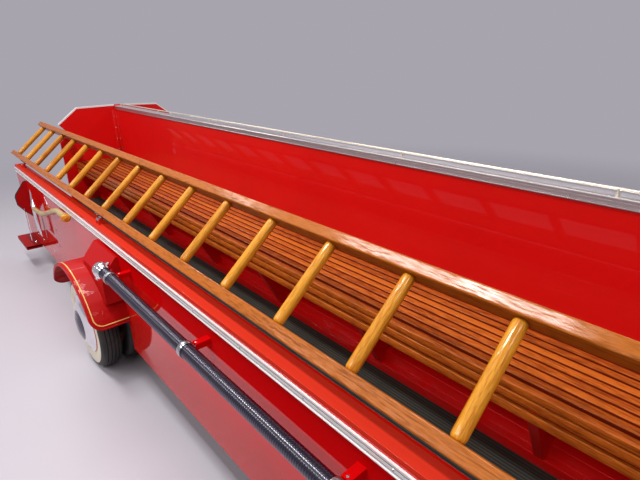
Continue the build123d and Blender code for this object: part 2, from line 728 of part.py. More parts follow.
# Cowl with the dashboard and the steering column
column = Vector(-cos(radians(column_tilt)), 0, sin(radians(column_tilt)))
steering_hub = Vector(steering_hub_x, steering_y, steering_hub_z)
cowl_plane = Plane(origin=(cowl_x, 0, 0), x_dir=(0, 1, 0), z_dir=(1, 0, 0))
cowl_middle_z = (hood_bottom_z + cowl_top_z) / 2
with BuildPart() as cowl:
    with BuildSketch(cowl_plane):
        with Locations((0, cowl_middle_z)):
            Rectangle(2 * body_half_width, cowl_top_z - hood_bottom_z)
    extrude(amount=cowl_depth)
    fillet(cowl.edges().filter_by(Axis.X).group_by(Axis.Z)[-1], cowl_corner)
    with BuildSketch(cowl_plane.offset(hood_sheet)):
        with Locations((0, cowl_middle_z - hood_sheet)):
            RectangleRounded(2 * (body_half_width - hood_sheet), cowl_top_z - hood_bottom_z, cowl_corner - 10)
        with Locations((0, hood_bottom_z + 80)):
            Rectangle(2 * (body_half_width - hood_sheet), 160)
    extrude(amount=cowl_depth - 2 * hood_sheet, mode=Mode.SUBTRACT)
    block((cowl_x, cowl_x + hood_sheet), (-body_half_width, body_half_width), (deck_bottom_z, hood_bottom_z))
    block((cowl_x - dash_depth, cowl_x), (-dash_half_width, dash_half_width), (cowl_top_z - 130, cowl_top_z - 20))
    rod(tuple(steering_hub - column * column_length), tuple(steering_hub - column * (20 + seat_gap)), column_radius)
finish(cowl, "cowl")

# Windscreen frame and glass
rake = radians(screen_rake)
screen_plane = Plane(origin=(cowl_x + screen_offset, 0, cowl_top_z), x_dir=(0, 1, 0), z_dir=(cos(rake), 0, sin(rake)))
glass_half_width = screen_half_width - screen_bar
glass_height = screen_height - 2 * screen_bar
with BuildPart() as screen:
    with BuildSketch(screen_plane):
        with Locations((0, screen_height / 2)):
            RectangleRounded(2 * screen_half_width, screen_height, 60)
            RectangleRounded(2 * glass_half_width, glass_height, 40, mode=Mode.SUBTRACT)
    extrude(amount=screen_thickness / 2, both=True)
    block((cowl_x, cowl_x + cowl_depth), (-dash_half_width, dash_half_width), (cowl_top_z - 60, cowl_top_z),
          mode=Mode.SUBTRACT)
finish(screen, "windscreen_frame")

with BuildPart() as glass:
    with BuildSketch(screen_plane):
        with Locations((0, screen_height / 2)):
            RectangleRounded(2 * (glass_half_width - seat_gap), glass_height - 2 * seat_gap, 40)
    extrude(amount=glass_thickness / 2, both=True)
finish(glass, "windscreen_glass")

# Nose: a tapered hood shell, open below and at both ends
with BuildPart() as nose:
    for grow, mode in ((0.0, Mode.ADD), (hood_sheet, Mode.SUBTRACT)):
        for x, top_z in ((cowl_x + cowl_depth, cowl_top_z - 10), (nose_front_x, hood_front_top_z)):
            low = hood_bottom_z - 2 * grow
            width = hood_half(x) - grow
            height = top_z - grow
            corner = hood_corner - grow
            with BuildSketch(Plane(origin=(x, 0, 0), x_dir=(0, 1, 0), z_dir=(1, 0, 0))):
                with BuildLine():
                    Line((-width, low), (-width, height - corner))
                    RadiusArc((-width, height - corner), (-width + corner, height), corner)
                    Line((-width + corner, height), (width - corner, height))
                    RadiusArc((width - corner, height), (width, height - corner), corner)
                    Line((width, height - corner), (width, low))
                    Line((width, low), (-width, low))
                make_face()
        loft(ruled=True, mode=mode)
finish(nose, "nose_shell")

# Grille: a rounded surround with upright bars
grille_height = hood_front_top_z - grille_low_z
grille_plane = Plane(origin=(nose_front_x, 0, (grille_low_z + hood_front_top_z) / 2), x_dir=(0, 1, 0), z_dir=(1, 0, 0))
with BuildPart() as grille:
    with BuildSketch(grille_plane):
        RectangleRounded(2 * hood_front_half, grille_height, 100)
        RectangleRounded(2 * (hood_front_half - grille_border), grille_height - 2 * grille_border, 70,
                         mode=Mode.SUBTRACT)
    extrude(amount=grille_depth)
    with BuildSketch(grille_plane.offset(8)):
        with GridLocations(grille_bar_pitch, 1, grille_bar_count, 1):
            Rectangle(grille_bar_width, grille_height - 60)
    extrude(amount=grille_depth / 2)
finish(grille, "grille")

# Front fenders with inner aprons
front_fender_z = axle_z + front_fender_rise
with BuildPart() as front_fenders:
    for _, side in SIDES:
        apron_plane = side_plane(front_axle_x, side * front_fender_inner_y, front_fender_z)
        with BuildSketch(apron_plane):
            Circle(front_fender_radius)
            Circle(front_fender_radius - fender_sheet, mode=Mode.SUBTRACT)
            with Locations((0, 20 + front_fender_radius)):
                Rectangle(2 * front_fender_radius, 2 * front_fender_radius, mode=Mode.INTERSECT)
        extrude(amount=-side * (front_fender_outer_y - front_fender_inner_y))
        with BuildSketch(apron_plane):
            Circle(front_fender_radius)
            with Locations((0, rail_bottom_z - front_fender_z + front_fender_radius)):
                Rectangle(2 * front_fender_radius, 2 * front_fender_radius, mode=Mode.INTERSECT)
        extrude(amount=-side * fender_sheet)
finish(front_fenders, "front_fenders")

# Headlamps on arms from the nose
lamp_y = hood_front_half + 120
arm_x = lamp_rear_x + 80
with BuildPart() as headlamps:
    for _, side in SIDES:
        with BuildSketch(side_plane(lamp_rear_x, side * lamp_y, lamp_z)):
            with BuildLine():
                Spline((0, 0), (40, 0.71 * lamp_radius), (lamp_length - 30, lamp_radius),
                       tangents=((0, 1), (1, 0.05)))
                Polyline((lamp_length - 30, lamp_radius), (lamp_length - 15, lamp_radius + 6),
                         (lamp_length, lamp_radius), (lamp_length, 0), (0, 0))
            make_face()
        revolve(axis=Axis((lamp_rear_x, side * lamp_y, lamp_z), (1, 0, 0)))
        rod((arm_x, side * hood_half(arm_x - lamp_arm_radius), lamp_z), (arm_x, side * lamp_y, lamp_z), lamp_arm_radius)
finish(headlamps, "headlamps")

# Tail lamps on the ends of the rails
with BuildPart() as tail_lamps:
    for _, side in SIDES:
        rod((frame_rear_x - tail_lamp_length, side * rail_middle_y, deck_bottom_z - 50),
            (frame_rear_x, side * rail_middle_y, deck_bottom_z - 50), tail_lamp_radius)
finish(tail_lamps, "tail_lamps")

# Front bumper on two irons below the rails
with BuildPart() as bumper:
    block((bumper_front_x - bumper_depth, bumper_front_x), (-body_half_width - 20, body_half_width + 20),
          (bumper_low_z, bumper_low_z + bumper_height))
    fillet(bumper.edges().filter_by(Axis.Z).group_by(Axis.X)[-1], bumper_corner)
    for _, side in SIDES:
        block((frame_front_x - 120, bumper_front_x - bumper_depth + 5), across(side, rail_inner_y + 5, rail_outer_y - 5),
              (rail_bottom_z - bumper_iron, rail_bottom_z))
finish(bumper, "front_bumper")

# Rear tow plate with its pin hole
with BuildPart() as tow_plate:
    block((frame_rear_x - tow_plate_length, frame_rear_x), (-tow_plate_half_width, tow_plate_half_width),
          (tow_plate_low_z, tow_plate_low_z + tow_plate_thickness))
    with Locations((frame_rear_x - tow_hole_inset, 0, tow_plate_low_z + tow_plate_thickness / 2)):
        Cylinder(tow_hole_radius, 2 * tow_plate_thickness, mode=Mode.SUBTRACT)
finish(tow_plate, "tow_plate")


def tyre_ring(axle_x, y, side):
    """One tyre as a closed ring on its rim."""
    half = tyre_width / 2
    shoulder = half - 9
    bead = half - 12
    tread_radius = wheel_radius - 11
    with BuildSketch(Plane(origin=(axle_x, side * y, axle_z), x_dir=(0, side, 0), z_dir=(side, 0, 0))) as ring:
        with BuildLine():
            Line((-bead, rim_radius), (-bead, rim_radius + 20))
            ThreePointArc((-bead, rim_radius + 20), (-half, rim_radius + 58), (-shoulder, tread_radius))
            ThreePointArc((-shoulder, tread_radius), (0, wheel_radius), (shoulder, tread_radius))
            ThreePointArc((shoulder, tread_radius), (half, rim_radius + 58), (bead, rim_radius + 20))
            Line((bead, rim_radius + 20), (bead, rim_radius))
            Line((bead, rim_radius), (-bead, rim_radius))
        make_face()
    revolve(ring.sketch, axis=Axis((axle_x, 0, axle_z), (0, 1, 0)))


def wheel_body(axle_x, y, side, rims, hub_span, bore):
    """Rims, discs, hub and bright cap as one turned piece; rims are middles from y, outward."""
    bead = tyre_width / 2 - 12
    barrel = rim_radius - seat_gap
    with BuildSketch(Plane(origin=(axle_x, side * y, axle_z), x_dir=(0, side, 0), z_dir=(side, 0, 0))) as turned:
        for middle in rims:
            with Locations((middle, barrel - 5)):
                Rectangle(2 * bead + 12, 10)
            for end in (-1, 1):
                with Locations((middle + end * (bead + seat_gap + 3), barrel + 4)):
                    Rectangle(6, 28)
            with Locations((middle - 16, (bore + barrel) / 2)):
                Rectangle(8, barrel - bore - 4)
        with Locations(((hub_span[0] + hub_span[1]) / 2, (bore + hub_radius) / 2)):
            Rectangle(hub_span[1] - hub_span[0], hub_radius - bore)
        rim_edge = barrel - 2
        crown = rims[-1] + bead + seat_gap + 6 + cap_bulge
        dome = (rim_edge ** 2 + cap_bulge ** 2) / (2 * cap_bulge)
        turn = asin(rim_edge / dome)
        ball = crown - dome
        with BuildLine():
            ThreePointArc(*((ball + dome * cos(a), dome * sin(a)) for a in (turn, turn / 2, 0)))
            Line((crown, 0), (crown - 3, 0))
            ThreePointArc(*((ball + (dome - 3) * cos(a), (dome - 3) * sin(a)) for a in (0, turn / 2, turn)))
            Line((ball + (dome - 3) * cos(turn), (dome - 3) * sin(turn)),
                 (ball + dome * cos(turn), dome * sin(turn)))
        make_face()
    revolve(turned.sketch, axis=Axis((axle_x, 0, axle_z), (0, side, 0)))


# Wheels and steering knuckles
arm_low = eye_half_height + 1
arm_high = arm_low + yoke_thickness
yoke_half = yoke_width / 2
for name, side in SIDES:
    with BuildPart() as tyres:
        tyre_ring(rear_axle_x, twin_middle_y - twin_offset, side)
        tyre_ring(rear_axle_x, twin_middle_y + twin_offset, side)
    finish(tyres, f"rear_tyres_{name}")
    with BuildPart() as twin_wheel:
        wheel_body(rear_axle_x, twin_middle_y, side, (-twin_offset, twin_offset),
                   (-rear_hub_inner, twin_offset + 30), rear_spindle_radius + bearing_gap)
    finish(twin_wheel, f"rear_wheels_{name}")
    with BuildPart() as front_tyre:
        tyre_ring(front_axle_x, front_wheel_y, side)
    finish(front_tyre, f"front_tyre_{name}")
    with BuildPart() as front_wheel:
        wheel_body(front_axle_x, front_wheel_y, side, (0.0,), (-45, 30), front_spindle_radius + bearing_gap)
    finish(front_wheel, f"front_wheel_{name}")
    with BuildPart() as knuckle:
        for low, high in ((arm_low, arm_high), (-arm_high, -arm_low)):
            block((front_axle_x - yoke_half, front_axle_x + yoke_half), across(side, kingpin_y - 28, kingpin_y + 56),
                  (axle_z + low, axle_z + high))
        block((front_axle_x - yoke_half, front_axle_x + yoke_half), across(side, kingpin_y + 38, kingpin_y + 56),
              (axle_z - arm_high, axle_z + arm_high))
        with Locations((front_axle_x, side * kingpin_y, axle_z)):
            Cylinder(kingpin_radius, 2 * arm_high)
        rod((front_axle_x, side * (kingpin_y + 50), axle_z), (front_axle_x, side * (front_wheel_y + 40), axle_z),
            front_spindle_radius)
        block((front_axle_x - steering_arm_length, front_axle_x), across(side, kingpin_y - 28, kingpin_y - 4),
              (axle_z - arm_high, axle_z - arm_low))
    finish(knuckle, f"steering_knuckle_{name}")

# Steering wheel: rim, three spokes and hub on the column's axis
wheel_plane = Plane(origin=tuple(steering_hub), x_dir=(0, 1, 0), z_dir=tuple(column))
with BuildPart() as steering_wheel:
    with BuildSketch(Plane(origin=tuple(steering_hub), x_dir=(0, 1, 0), z_dir=tuple(wheel_plane.y_dir))):
        with Locations((steering_radius, 0)):
            Circle(steering_rim_radius)
    revolve(axis=Axis(tuple(steering_hub), tuple(column)))
    with BuildSketch(wheel_plane):
        Circle(32)
        with PolarLocations(steering_radius / 2, 3, start_angle=90):
            Rectangle(steering_radius, 20)
    extrude(amount=5, both=True)
    with BuildSketch(wheel_plane.offset(-20)):
        Circle(28)
    extrude(amount=30)
finish(steering_wheel, "steering_wheel")

# Bell: a bronze cup in a yoke on the cowl
bell_x = cowl_x + bell_offset
bell_pivot_z = cowl_top_z + bell_pivot_height
bell_yoke_outer = bell_yoke_half + bell_yoke_thickness / 2
with BuildPart() as bell_stand:
    for offset in (-bell_yoke_half, bell_yoke_half):
        block((bell_x - 12, bell_x + 12), (offset - bell_yoke_thickness / 2, offset + bell_yoke_thickness / 2),
              (cowl_top_z, bell_pivot_z + 14))
    block((bell_x - 25, bell_x + 25), (-bell_yoke_outer, bell_yoke_outer), (cowl_top_z, cowl_top_z + 8))
    rod((bell_x, -bell_yoke_outer, bell_pivot_z), (bell_x, bell_yoke_outer, bell_pivot_z),
        bell_pin_radius + bearing_gap, mode=Mode.SUBTRACT)
finish(bell_stand, "bell_stand")

with BuildPart() as bell:
    with BuildSketch(side_plane(bell_x, 0, bell_pivot_z)):
        with BuildLine():
            Line((0, 12), (30, 8))
            Spline((30, 8), (46, -15), (54, -70), (76, -112))
            Line((76, -112), (70, -115))
            Spline((70, -115), (48, -72), (40, -18), (26, 0))
            Line((26, 0), (0, 2))
            Line((0, 2), (0, 12))
        make_face()
    revolve(axis=Axis((bell_x, 0, bell_pivot_z), (0, 0, 1)))
    with Locations((bell_x, 0, bell_pivot_z)):
        Box(30, 60, 24)
    rod((bell_x, -100, bell_pivot_z), (bell_x, 100, bell_pivot_z), bell_pin_radius)
finish(bell, "bell")
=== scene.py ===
import logging
import math
from dataclasses import dataclass
from enum import Enum
from functools import lru_cache
from typing import Any, Callable, Optional, Sequence, Union

import bmesh
import bpy
from mathutils import Matrix, Vector


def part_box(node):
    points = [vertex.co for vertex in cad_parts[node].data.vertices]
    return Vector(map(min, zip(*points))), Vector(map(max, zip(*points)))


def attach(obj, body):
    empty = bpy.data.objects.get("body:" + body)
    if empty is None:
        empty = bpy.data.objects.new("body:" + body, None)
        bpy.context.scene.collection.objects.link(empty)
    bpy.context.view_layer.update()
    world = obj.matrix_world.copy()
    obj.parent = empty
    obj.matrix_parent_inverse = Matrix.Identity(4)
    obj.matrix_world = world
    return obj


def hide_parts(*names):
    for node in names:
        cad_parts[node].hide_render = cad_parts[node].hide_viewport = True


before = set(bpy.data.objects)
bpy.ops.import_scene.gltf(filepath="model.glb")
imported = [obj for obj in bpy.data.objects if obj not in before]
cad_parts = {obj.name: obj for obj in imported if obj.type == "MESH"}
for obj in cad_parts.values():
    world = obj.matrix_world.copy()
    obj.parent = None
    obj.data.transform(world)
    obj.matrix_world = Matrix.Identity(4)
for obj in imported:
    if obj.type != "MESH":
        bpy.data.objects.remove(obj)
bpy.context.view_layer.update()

log = logging.getLogger("fire_engine")

Pair = tuple[float, float]
Point = tuple[float, float, float]
Colour = tuple[float, float, float, float]
X, Y, Z = (1.0, 0.0, 0.0), (0.0, 1.0, 0.0), (0.0, 0.0, 1.0)


def rgb(red: int, green: int, blue: int) -> Colour:
    """A colour as the eye reads it off a chart, turned into light values.

    Args:
        red: Red, 0 to 255.
        green: Green, 0 to 255.
        blue: Blue, 0 to 255.

    Returns:
        The colour for a shader socket.
    """
    parts = [value / 255 for value in (red, green, blue)]
    return (*(part / 12.92 if part <= 0.04045 else ((part + 0.055) / 1.055) ** 2.4 for part in parts), 1.0)


def darker(colour: Colour, share: float) -> Colour:
    """The same colour at a share of its light."""
    return colour[0] * share, colour[1] * share, colour[2] * share, 1.0


DUST = rgb(128, 112, 96)
# A dark red for painted shade in the bench's gaps.
GAP_SHADE_RED = rgb(120, 26, 8)
# A paler red: painted reflection on the side flange's top.
SHEEN_RED = rgb(208, 52, 34)
# A deeper red: painted shade in a band under the side trim.
SHADE_BAND_RED = rgb(192, 3, 8)
CREAM, STAINED_CREAM = rgb(232, 222, 198), rgb(196, 180, 150)


def arithmetic(operation: str, swapped: bool = False) -> Callable[..., "Signal"]:
    """A method of a signal that does one step of arithmetic.

    Args:
        operation: The step's name.
        swapped: Whether the other term comes first.

    Returns:
        The method.
    """
    def method(signal: "Signal", *others: "Value") -> "Signal":
        """The step's result."""
        terms = (*others, signal) if swapped else (signal, *others)
        return signal.recipe.read("ShaderNodeMath", dict(enumerate(terms)), operation=operation)
    return method


class Signal:
    """A shader socket that takes part in arithmetic."""

    def __init__(self, recipe: "Recipe", socket: bpy.types.NodeSocket) -> None:
        """Wrap one output socket of a recipe."""
        self.recipe, self.socket = recipe, socket

    __add__ = __radd__ = arithmetic("ADD")
    __sub__ = arithmetic("SUBTRACT")
    __rsub__ = arithmetic("SUBTRACT", True)
    __mul__ = __rmul__ = arithmetic("MULTIPLY")
    __pow__ = arithmetic("POWER")
    __truediv__ = arithmetic("DIVIDE")
    __abs__ = arithmetic("ABSOLUTE")
    floor = arithmetic("FLOOR")
    fraction = arithmetic("FRACT")
    above = arithmetic("GREATER_THAN")

    def between(self, low: float, high: float) -> "Signal":
        """A smooth step from 0 at low to 1 at high, either way round."""
        return self.recipe.read("ShaderNodeMapRange", {"Value": self, "From Min": low, "From Max": high}, "Result",
                                interpolation_type="SMOOTHSTEP")


Value = Union[Signal, float]
Tint = Union[Signal, Colour]


class Recipe:
    """The nodes of one finish or of the surround."""

    def __init__(self, owner: bpy.types.ID) -> None:
        """Start with the empty tree of a material or a world."""
        owner.use_nodes = True
        self.tree = owner.node_tree
        self.tree.nodes.clear()

    def node(self, kind: str, sockets: Optional[dict[Any, Any]] = None, **settings: Any) -> bpy.types.Node:
        """Make one node.

        Args:
            kind: The node's type.
            sockets: Values or signals of its input sockets.
            settings: Its own settings.

        Returns:
            The node.
        """
        made = self.tree.nodes.new(kind)
        for key, value in settings.items():
            setattr(made, key, value)
        for key, value in (sockets or {}).items():
            if isinstance(value, Signal):
                self.tree.links.new(value.socket, made.inputs[key])
            else:
                made.inputs[key].default_value = value
        return made

    def read(self, kind: str, sockets: Optional[dict[Any, Any]] = None, output: Union[int, str] = 0,
             **settings: Any) -> Signal:
        """Make one node and read one of its outputs."""
        return Signal(self, self.node(kind, sockets, **settings).outputs[output])

    def place(self) -> Signal:
        """Where a point is on the engine at rest, in metres."""
        return self.read("ShaderNodeTexCoord", output="Object")

    def seen(self) -> Signal:
        """Tell what is looked at from what lights things.

        Returns:
            1 for what the camera, gloss and glass see, and 0 for the rest.
        """
        rays = self.node("ShaderNodeLightPath")
        camera, gloss, glass = (Signal(self, rays.outputs[f"Is {ray} Ray"])
                                for ray in ("Camera", "Glossy", "Transmission"))
        return (camera + gloss + glass).above(0.5)

    def split(self, vector: Signal) -> list[Signal]:
        """The three parts of a vector."""
        return [Signal(self, part) for part in self.node("ShaderNodeSeparateXYZ", {0: vector}).outputs]

    def join(self, *parts: Value) -> Signal:
        """A vector from three parts."""
        return self.read("ShaderNodeCombineXYZ", dict(enumerate(parts)))

    def stretch(self, vector: Signal, factors: Point) -> Signal:
        """A vector scaled by a factor along each axis."""
        return self.read("ShaderNodeVectorMath", {0: vector, 1: factors}, operation="MULTIPLY")

    def noise(self, vector: Signal, scale: float, detail: float = 3.0) -> Signal:
        """Cloudy noise from 0 to 1, by its features per metre and its finer layers."""
        return self.read("ShaderNodeTexNoise", {"Vector": vector, "Scale": scale, "Detail": detail})

    def scatter(self, value: Value) -> Signal:
        """A number from 0 to 1 that differs for each whole value."""
        return self.read("ShaderNodeTexWhiteNoise", {"W": value}, "Value", noise_dimensions="1D")

    def cells(self, vector: Signal, scale: float) -> Signal:
        """Distance inside a pattern of cells."""
        return self.read("ShaderNodeTexVoronoi", {"Vector": vector, "Scale": scale}, "Distance")

    def blend(self, mask: Value, first: Tint, second: Tint) -> Signal:
        """Mix two colours: the first where the mask is 0 and the second where it is 1."""
        return self.read("ShaderNodeMix", {0: mask, 6: first, 7: second}, 2, data_type="RGBA")

    def bump(self, height: Value, depth: float) -> Signal:
        """A normal from a height, where 1 stands for a depth in metres."""
        return self.read("ShaderNodeBump", {"Distance": depth, "Height": height})

    def surface(self, **sockets: Any) -> Signal:
        """A solid surface's shader, with _ for a space in the names of its sockets."""
        return self.read("ShaderNodeBsdfPrincipled", {key.replace("_", " "): value for key, value in sockets.items()})


@dataclass(frozen=True)
class Finish:
    """What every finish has: its name, the name of the record's slot it belongs to, which nothing here reads, and its
    colour.
    """

    name: str
    slot: str
    colour: Colour

    def shade(self, mix: Recipe, place: Signal) -> Signal:
        """Lay out the finish's nodes and return its shader."""
        raise NotImplementedError


@dataclass(frozen=True)
class GlossPaint(Finish):
    """Sprayed enamel under a clear coat; banded has a painted reflection on the side flange and a band of painted shade
    under the trim.
    """

    base_roughness: float = 0.42
    dust: float = 0.25
    coat: float = 1.0
    banded: bool = False

    def shade(self, mix: Recipe, place: Signal) -> Signal:
        """Lay out the finish's nodes.

        Args:
            mix: The recipe.
            place: Where a point is.

        Returns:
            The shader.
        """
        grit = mix.noise(place, 55.0, 5.0)
        along, out, height = mix.split(place)
        film = height.between(0.62, 0.1) * grit.between(0.38, 0.72) * self.dust
        colour = mix.blend(mix.noise(place, 1.7, 4.0).between(0.35, 0.7) * 0.35, self.colour, darker(self.colour, 0.78))
        coat = self.coat - film
        if self.banded:
            # Painted shade: a deeper red band without clear coat under the side trim, forward of the hose box.
            shade_band = height.between(0.653, 0.661) * height.between(0.775, 0.765) * abs(out).between(0.752, 0.756)
            shade_band = shade_band * along.between(-1.35, -1.20)
            # Painted reflection: a paler red with less clear coat on the side flange's top.
            sheen_band = height.between(0.800, 0.812) * abs(out).between(0.700, 0.705)
            colour = mix.blend(shade_band * 0.85, mix.blend(sheen_band, colour, SHEEN_RED), SHADE_BAND_RED)
            coat = coat * (shade_band * -0.98 + 1.0) * (sheen_band * -0.75 + 1.0)
        return mix.surface(
            Base_Color=mix.blend(film, colour, DUST), Roughness=self.base_roughness + film * 0.5 + grit * 0.06,
            Normal=mix.bump(mix.noise(place, 130.0, 1.0), 0.0001), Coat_Weight=coat, Coat_Roughness=0.025,
            Coat_IOR=1.42, Specular_IOR_Level=0.0 if self.banded else 0.12)


class Run(Enum):
    """Which way a timber's grain runs."""

    LENGTHWISE = 1
    ALONG_RUNG = 2


@dataclass(frozen=True)
class VarnishedWood(Finish):
    """Planed timber under clear varnish; timbers a board apart differ in tone, and a bench's gaps can be given painted
    shade.
    """

    dark: Colour
    run: Run = Run.LENGTHWISE
    board: float = 0.0355
    figure: float = 9.0
    contrast: float = 0.4
    varnish: float = 0.7
    haze: float = 0.16
    shaded_gaps: bool = False

    def shade(self, mix: Recipe, place: Signal) -> Signal:
        """Lay out the finish's nodes.

        Args:
            mix: The recipe.
            place: Where a point is.

        Returns:
            The shader.
        """
        x, y, z = mix.split(place)
        out = abs(y)
        if self.run is Run.LENGTHWISE:
            along, across, up, start = x, y, z, out - 0.0555
        else:
            sine, cosine = (turn(math.radians(Ladders.tilt)) for turn in (math.sin, math.cos))
            along, across, up, start = z * sine - out * cosine, x, out * sine + z * cosine, x + 3.6
        tone = mix.scatter((start / self.board).floor() + y.above(0.0) * 31.0)
        shift = tone * 37.0

        def grain(length: float, width: float, detail: float, aside: Value = 0.0) -> Signal:
            """Noise drawn out along the timber, by its features per metre along and across."""
            return mix.noise(mix.join(along * length + shift, across * width + aside, up * width), 1.0, detail)

        lines = (grain(0.55, 15.0, 2.0, shift) * self.figure + along * 0.12).fraction()
        fibre = grain(24.0, 210.0, 4.0)
        pores = grain(40.0, 620.0, 2.0).between(0.58, 0.7)
        rings = abs(lines - 0.5) * 2.0
        mask = rings.between(0.35, 1.0) * self.contrast + fibre.between(0.32, 0.68) * 0.5 + (tone - 0.5) * 0.5
        colour = mix.blend(mask.between(0.0, 1.0), self.colour, self.dark)
        colour = mix.blend(pores * 0.45, colour, darker(self.dark, 0.45))
        # Painted shade: on the bench's top slats, the sides just under the top edge are coloured dark red.
        if self.shaded_gaps:
            colour = mix.blend(z.between(0.8693, 0.8684) * out.between(0.386, 0.382) * 0.94, colour, GAP_SHADE_RED)
        return mix.surface(Base_Color=colour, Roughness=fibre * 0.15 + 0.4, Normal=mix.bump(fibre, 0.00012),
                           Coat_Weight=fibre.between(0.72, 0.3) * self.varnish, Coat_Roughness=self.haze,
                           Coat_IOR=1.45, Specular_IOR_Level=0.15)


@dataclass(frozen=True)
class Metal(Finish):
    """Plated, polished or brushed metal; plated is the share that is bare metal rather than pale lacquer."""

    gloss: float = 0.08
    brushed: bool = False
    tarnish: float = 0.2
    plated: float = 1.0

    def shade(self, mix: Recipe, place: Signal) -> Signal:
        """Lay out the finish's nodes.

        Args:
            mix: The recipe.
            place: Where a point is.

        Returns:
            The shader.
        """
        marks = mix.noise(place, 14.0, 5.0).between(0.45, 0.8) * self.tarnish
        lines = mix.noise(mix.stretch(place, (1.5, 900.0, 900.0) if self.brushed else (260.0, 260.0, 260.0)), 1.0, 2.0)
        return mix.surface(Base_Color=mix.blend(marks, self.colour, darker(self.colour, 0.55)), Metallic=self.plated,
                           Roughness=self.gloss + marks * 0.6 + lines * 0.05, Normal=mix.bump(lines, 0.00001))


@dataclass(frozen=True)
class Rubber(Finish):
    """Moulded rubber or plastic with ribs per metre, under a dressing of some weight and tint."""

    gloss: float = 0.5
    dust: float = 0.2
    coat: float = 0.0
    ribs: float = 0.0
    tint: Colour = (1.0, 1.0, 1.0, 1.0)

    def shade(self, mix: Recipe, place: Signal) -> Signal:
        """Lay out the finish's nodes.

        Args:
            mix: The recipe.
            place: Where a point is.

        Returns:
            The shader.
        """
        cloud = mix.noise(place, 6.0, 5.0).between(0.4, 0.75)
        height = mix.noise(place, 900.0, 2.0) * 0.12
        colour = mix.blend(cloud * self.dust, self.colour, darker(DUST, 0.6))
        if self.ribs:
            wave = abs((mix.split(place)[1] * self.ribs).fraction() - 0.5).between(0.12, 0.3)
            height = height + wave
            # Painted shade: the grooves between the ribs are coloured darker.
            colour = mix.blend(wave, darker(self.colour, 0.35), colour)
        return mix.surface(Base_Color=colour, Roughness=self.gloss + cloud * 0.12, Normal=mix.bump(height, 0.0012),
                           Coat_Weight=self.coat, Coat_Roughness=0.12, Coat_Tint=self.tint, Specular_IOR_Level=0.35)


@dataclass(frozen=True)
class TyreRubber(Finish):
    """Tread rubber with a cream band on the wall beyond band_y, between two radii round an axle at axle_x."""

    axle_x: float
    band_y: float
    band: Pair = (0.163, 0.232)
    edge: float = 0.0015

    def shade(self, mix: Recipe, place: Signal) -> Signal:
        """Lay out the finish's nodes.

        Args:
            mix: The recipe.
            place: Where a point is.

        Returns:
            The shader.
        """
        x, y, z = mix.split(place)
        radius = ((x - self.axle_x) ** 2.0 + (z - Tyres.radius) ** 2.0) ** 0.5
        low, high = self.band
        wall = (radius.between(low, low + self.edge) * radius.between(high, high - self.edge)
                * abs(y).between(self.band_y, self.band_y + 0.004))
        cloud = mix.noise(place, 9.0, 5.0)
        black = mix.blend(cloud.between(0.35, 0.8) * 0.35 * radius.between(0.2, 0.262), self.colour, darker(DUST, 0.55))
        cream = mix.blend(cloud.between(0.4, 0.75) * 0.3, CREAM, STAINED_CREAM)
        return mix.surface(Base_Color=mix.blend(wall, black, cream), Roughness=0.62 - wall * 0.16,
                           Normal=mix.bump(mix.noise(place, 700.0, 2.0), 0.00012), Specular_IOR_Level=0.45)


@dataclass(frozen=True)
class Leather(Finish):
    """Grained covering on the driver's seat."""

    def shade(self, mix: Recipe, place: Signal) -> Signal:
        """Lay out the finish's nodes.

        Args:
            mix: The recipe.
            place: Where a point is.

        Returns:
            The shader.
        """
        cells = mix.cells(place, 420.0)
        cloud = mix.noise(place, 7.0, 4.0)
        colour = mix.blend(cloud.between(0.35, 0.75) * 0.5, self.colour, darker(self.colour, 0.6))
        colour = mix.blend(cells.between(0.5, 0.9) * 0.3, colour, darker(self.colour, 0.4))
        return mix.surface(Base_Color=colour, Roughness=0.42 + cloud * 0.12, Normal=mix.bump(1.0 - cells, 0.0003),
                           Coat_Weight=0.25, Coat_Roughness=0.25)


@dataclass(frozen=True)
class Clear(Finish):
    """Glass or a moulded lens with ribs per metre, which lets a share of the light through."""

    frost: float = 0.0
    ribs: float = 0.0
    through: float = 1.0

    def shade(self, mix: Recipe, place: Signal) -> Signal:
        """Lay out the finish's nodes.

        Args:
            mix: The recipe.
            place: Where a point is.

        Returns:
            The shader.
        """
        film = mix.noise(place, 5.0, 4.0).between(0.5, 0.8)
        wave = abs((mix.split(place)[1] * max(self.ribs, 1.0)).fraction() - 0.5)
        return mix.surface(Base_Color=mix.blend(film * 0.06, self.colour, DUST), Roughness=self.frost + film * 0.02,
                           Normal=mix.bump(wave, 0.0012 if self.ribs else 0.00001), IOR=1.45,
                           Transmission_Weight=self.through, Coat_Weight=0.3 if self.ribs else 0.0)


RED = GlossPaint("red_enamel", "red_paint", rgb(212, 16, 10))
PANEL_RED = GlossPaint("panel_enamel", "red_paint", rgb(212, 16, 10), banded=True)
WALL_RED = GlossPaint("wall_enamel", "red_paint", rgb(214, 12, 12), coat=0.4)
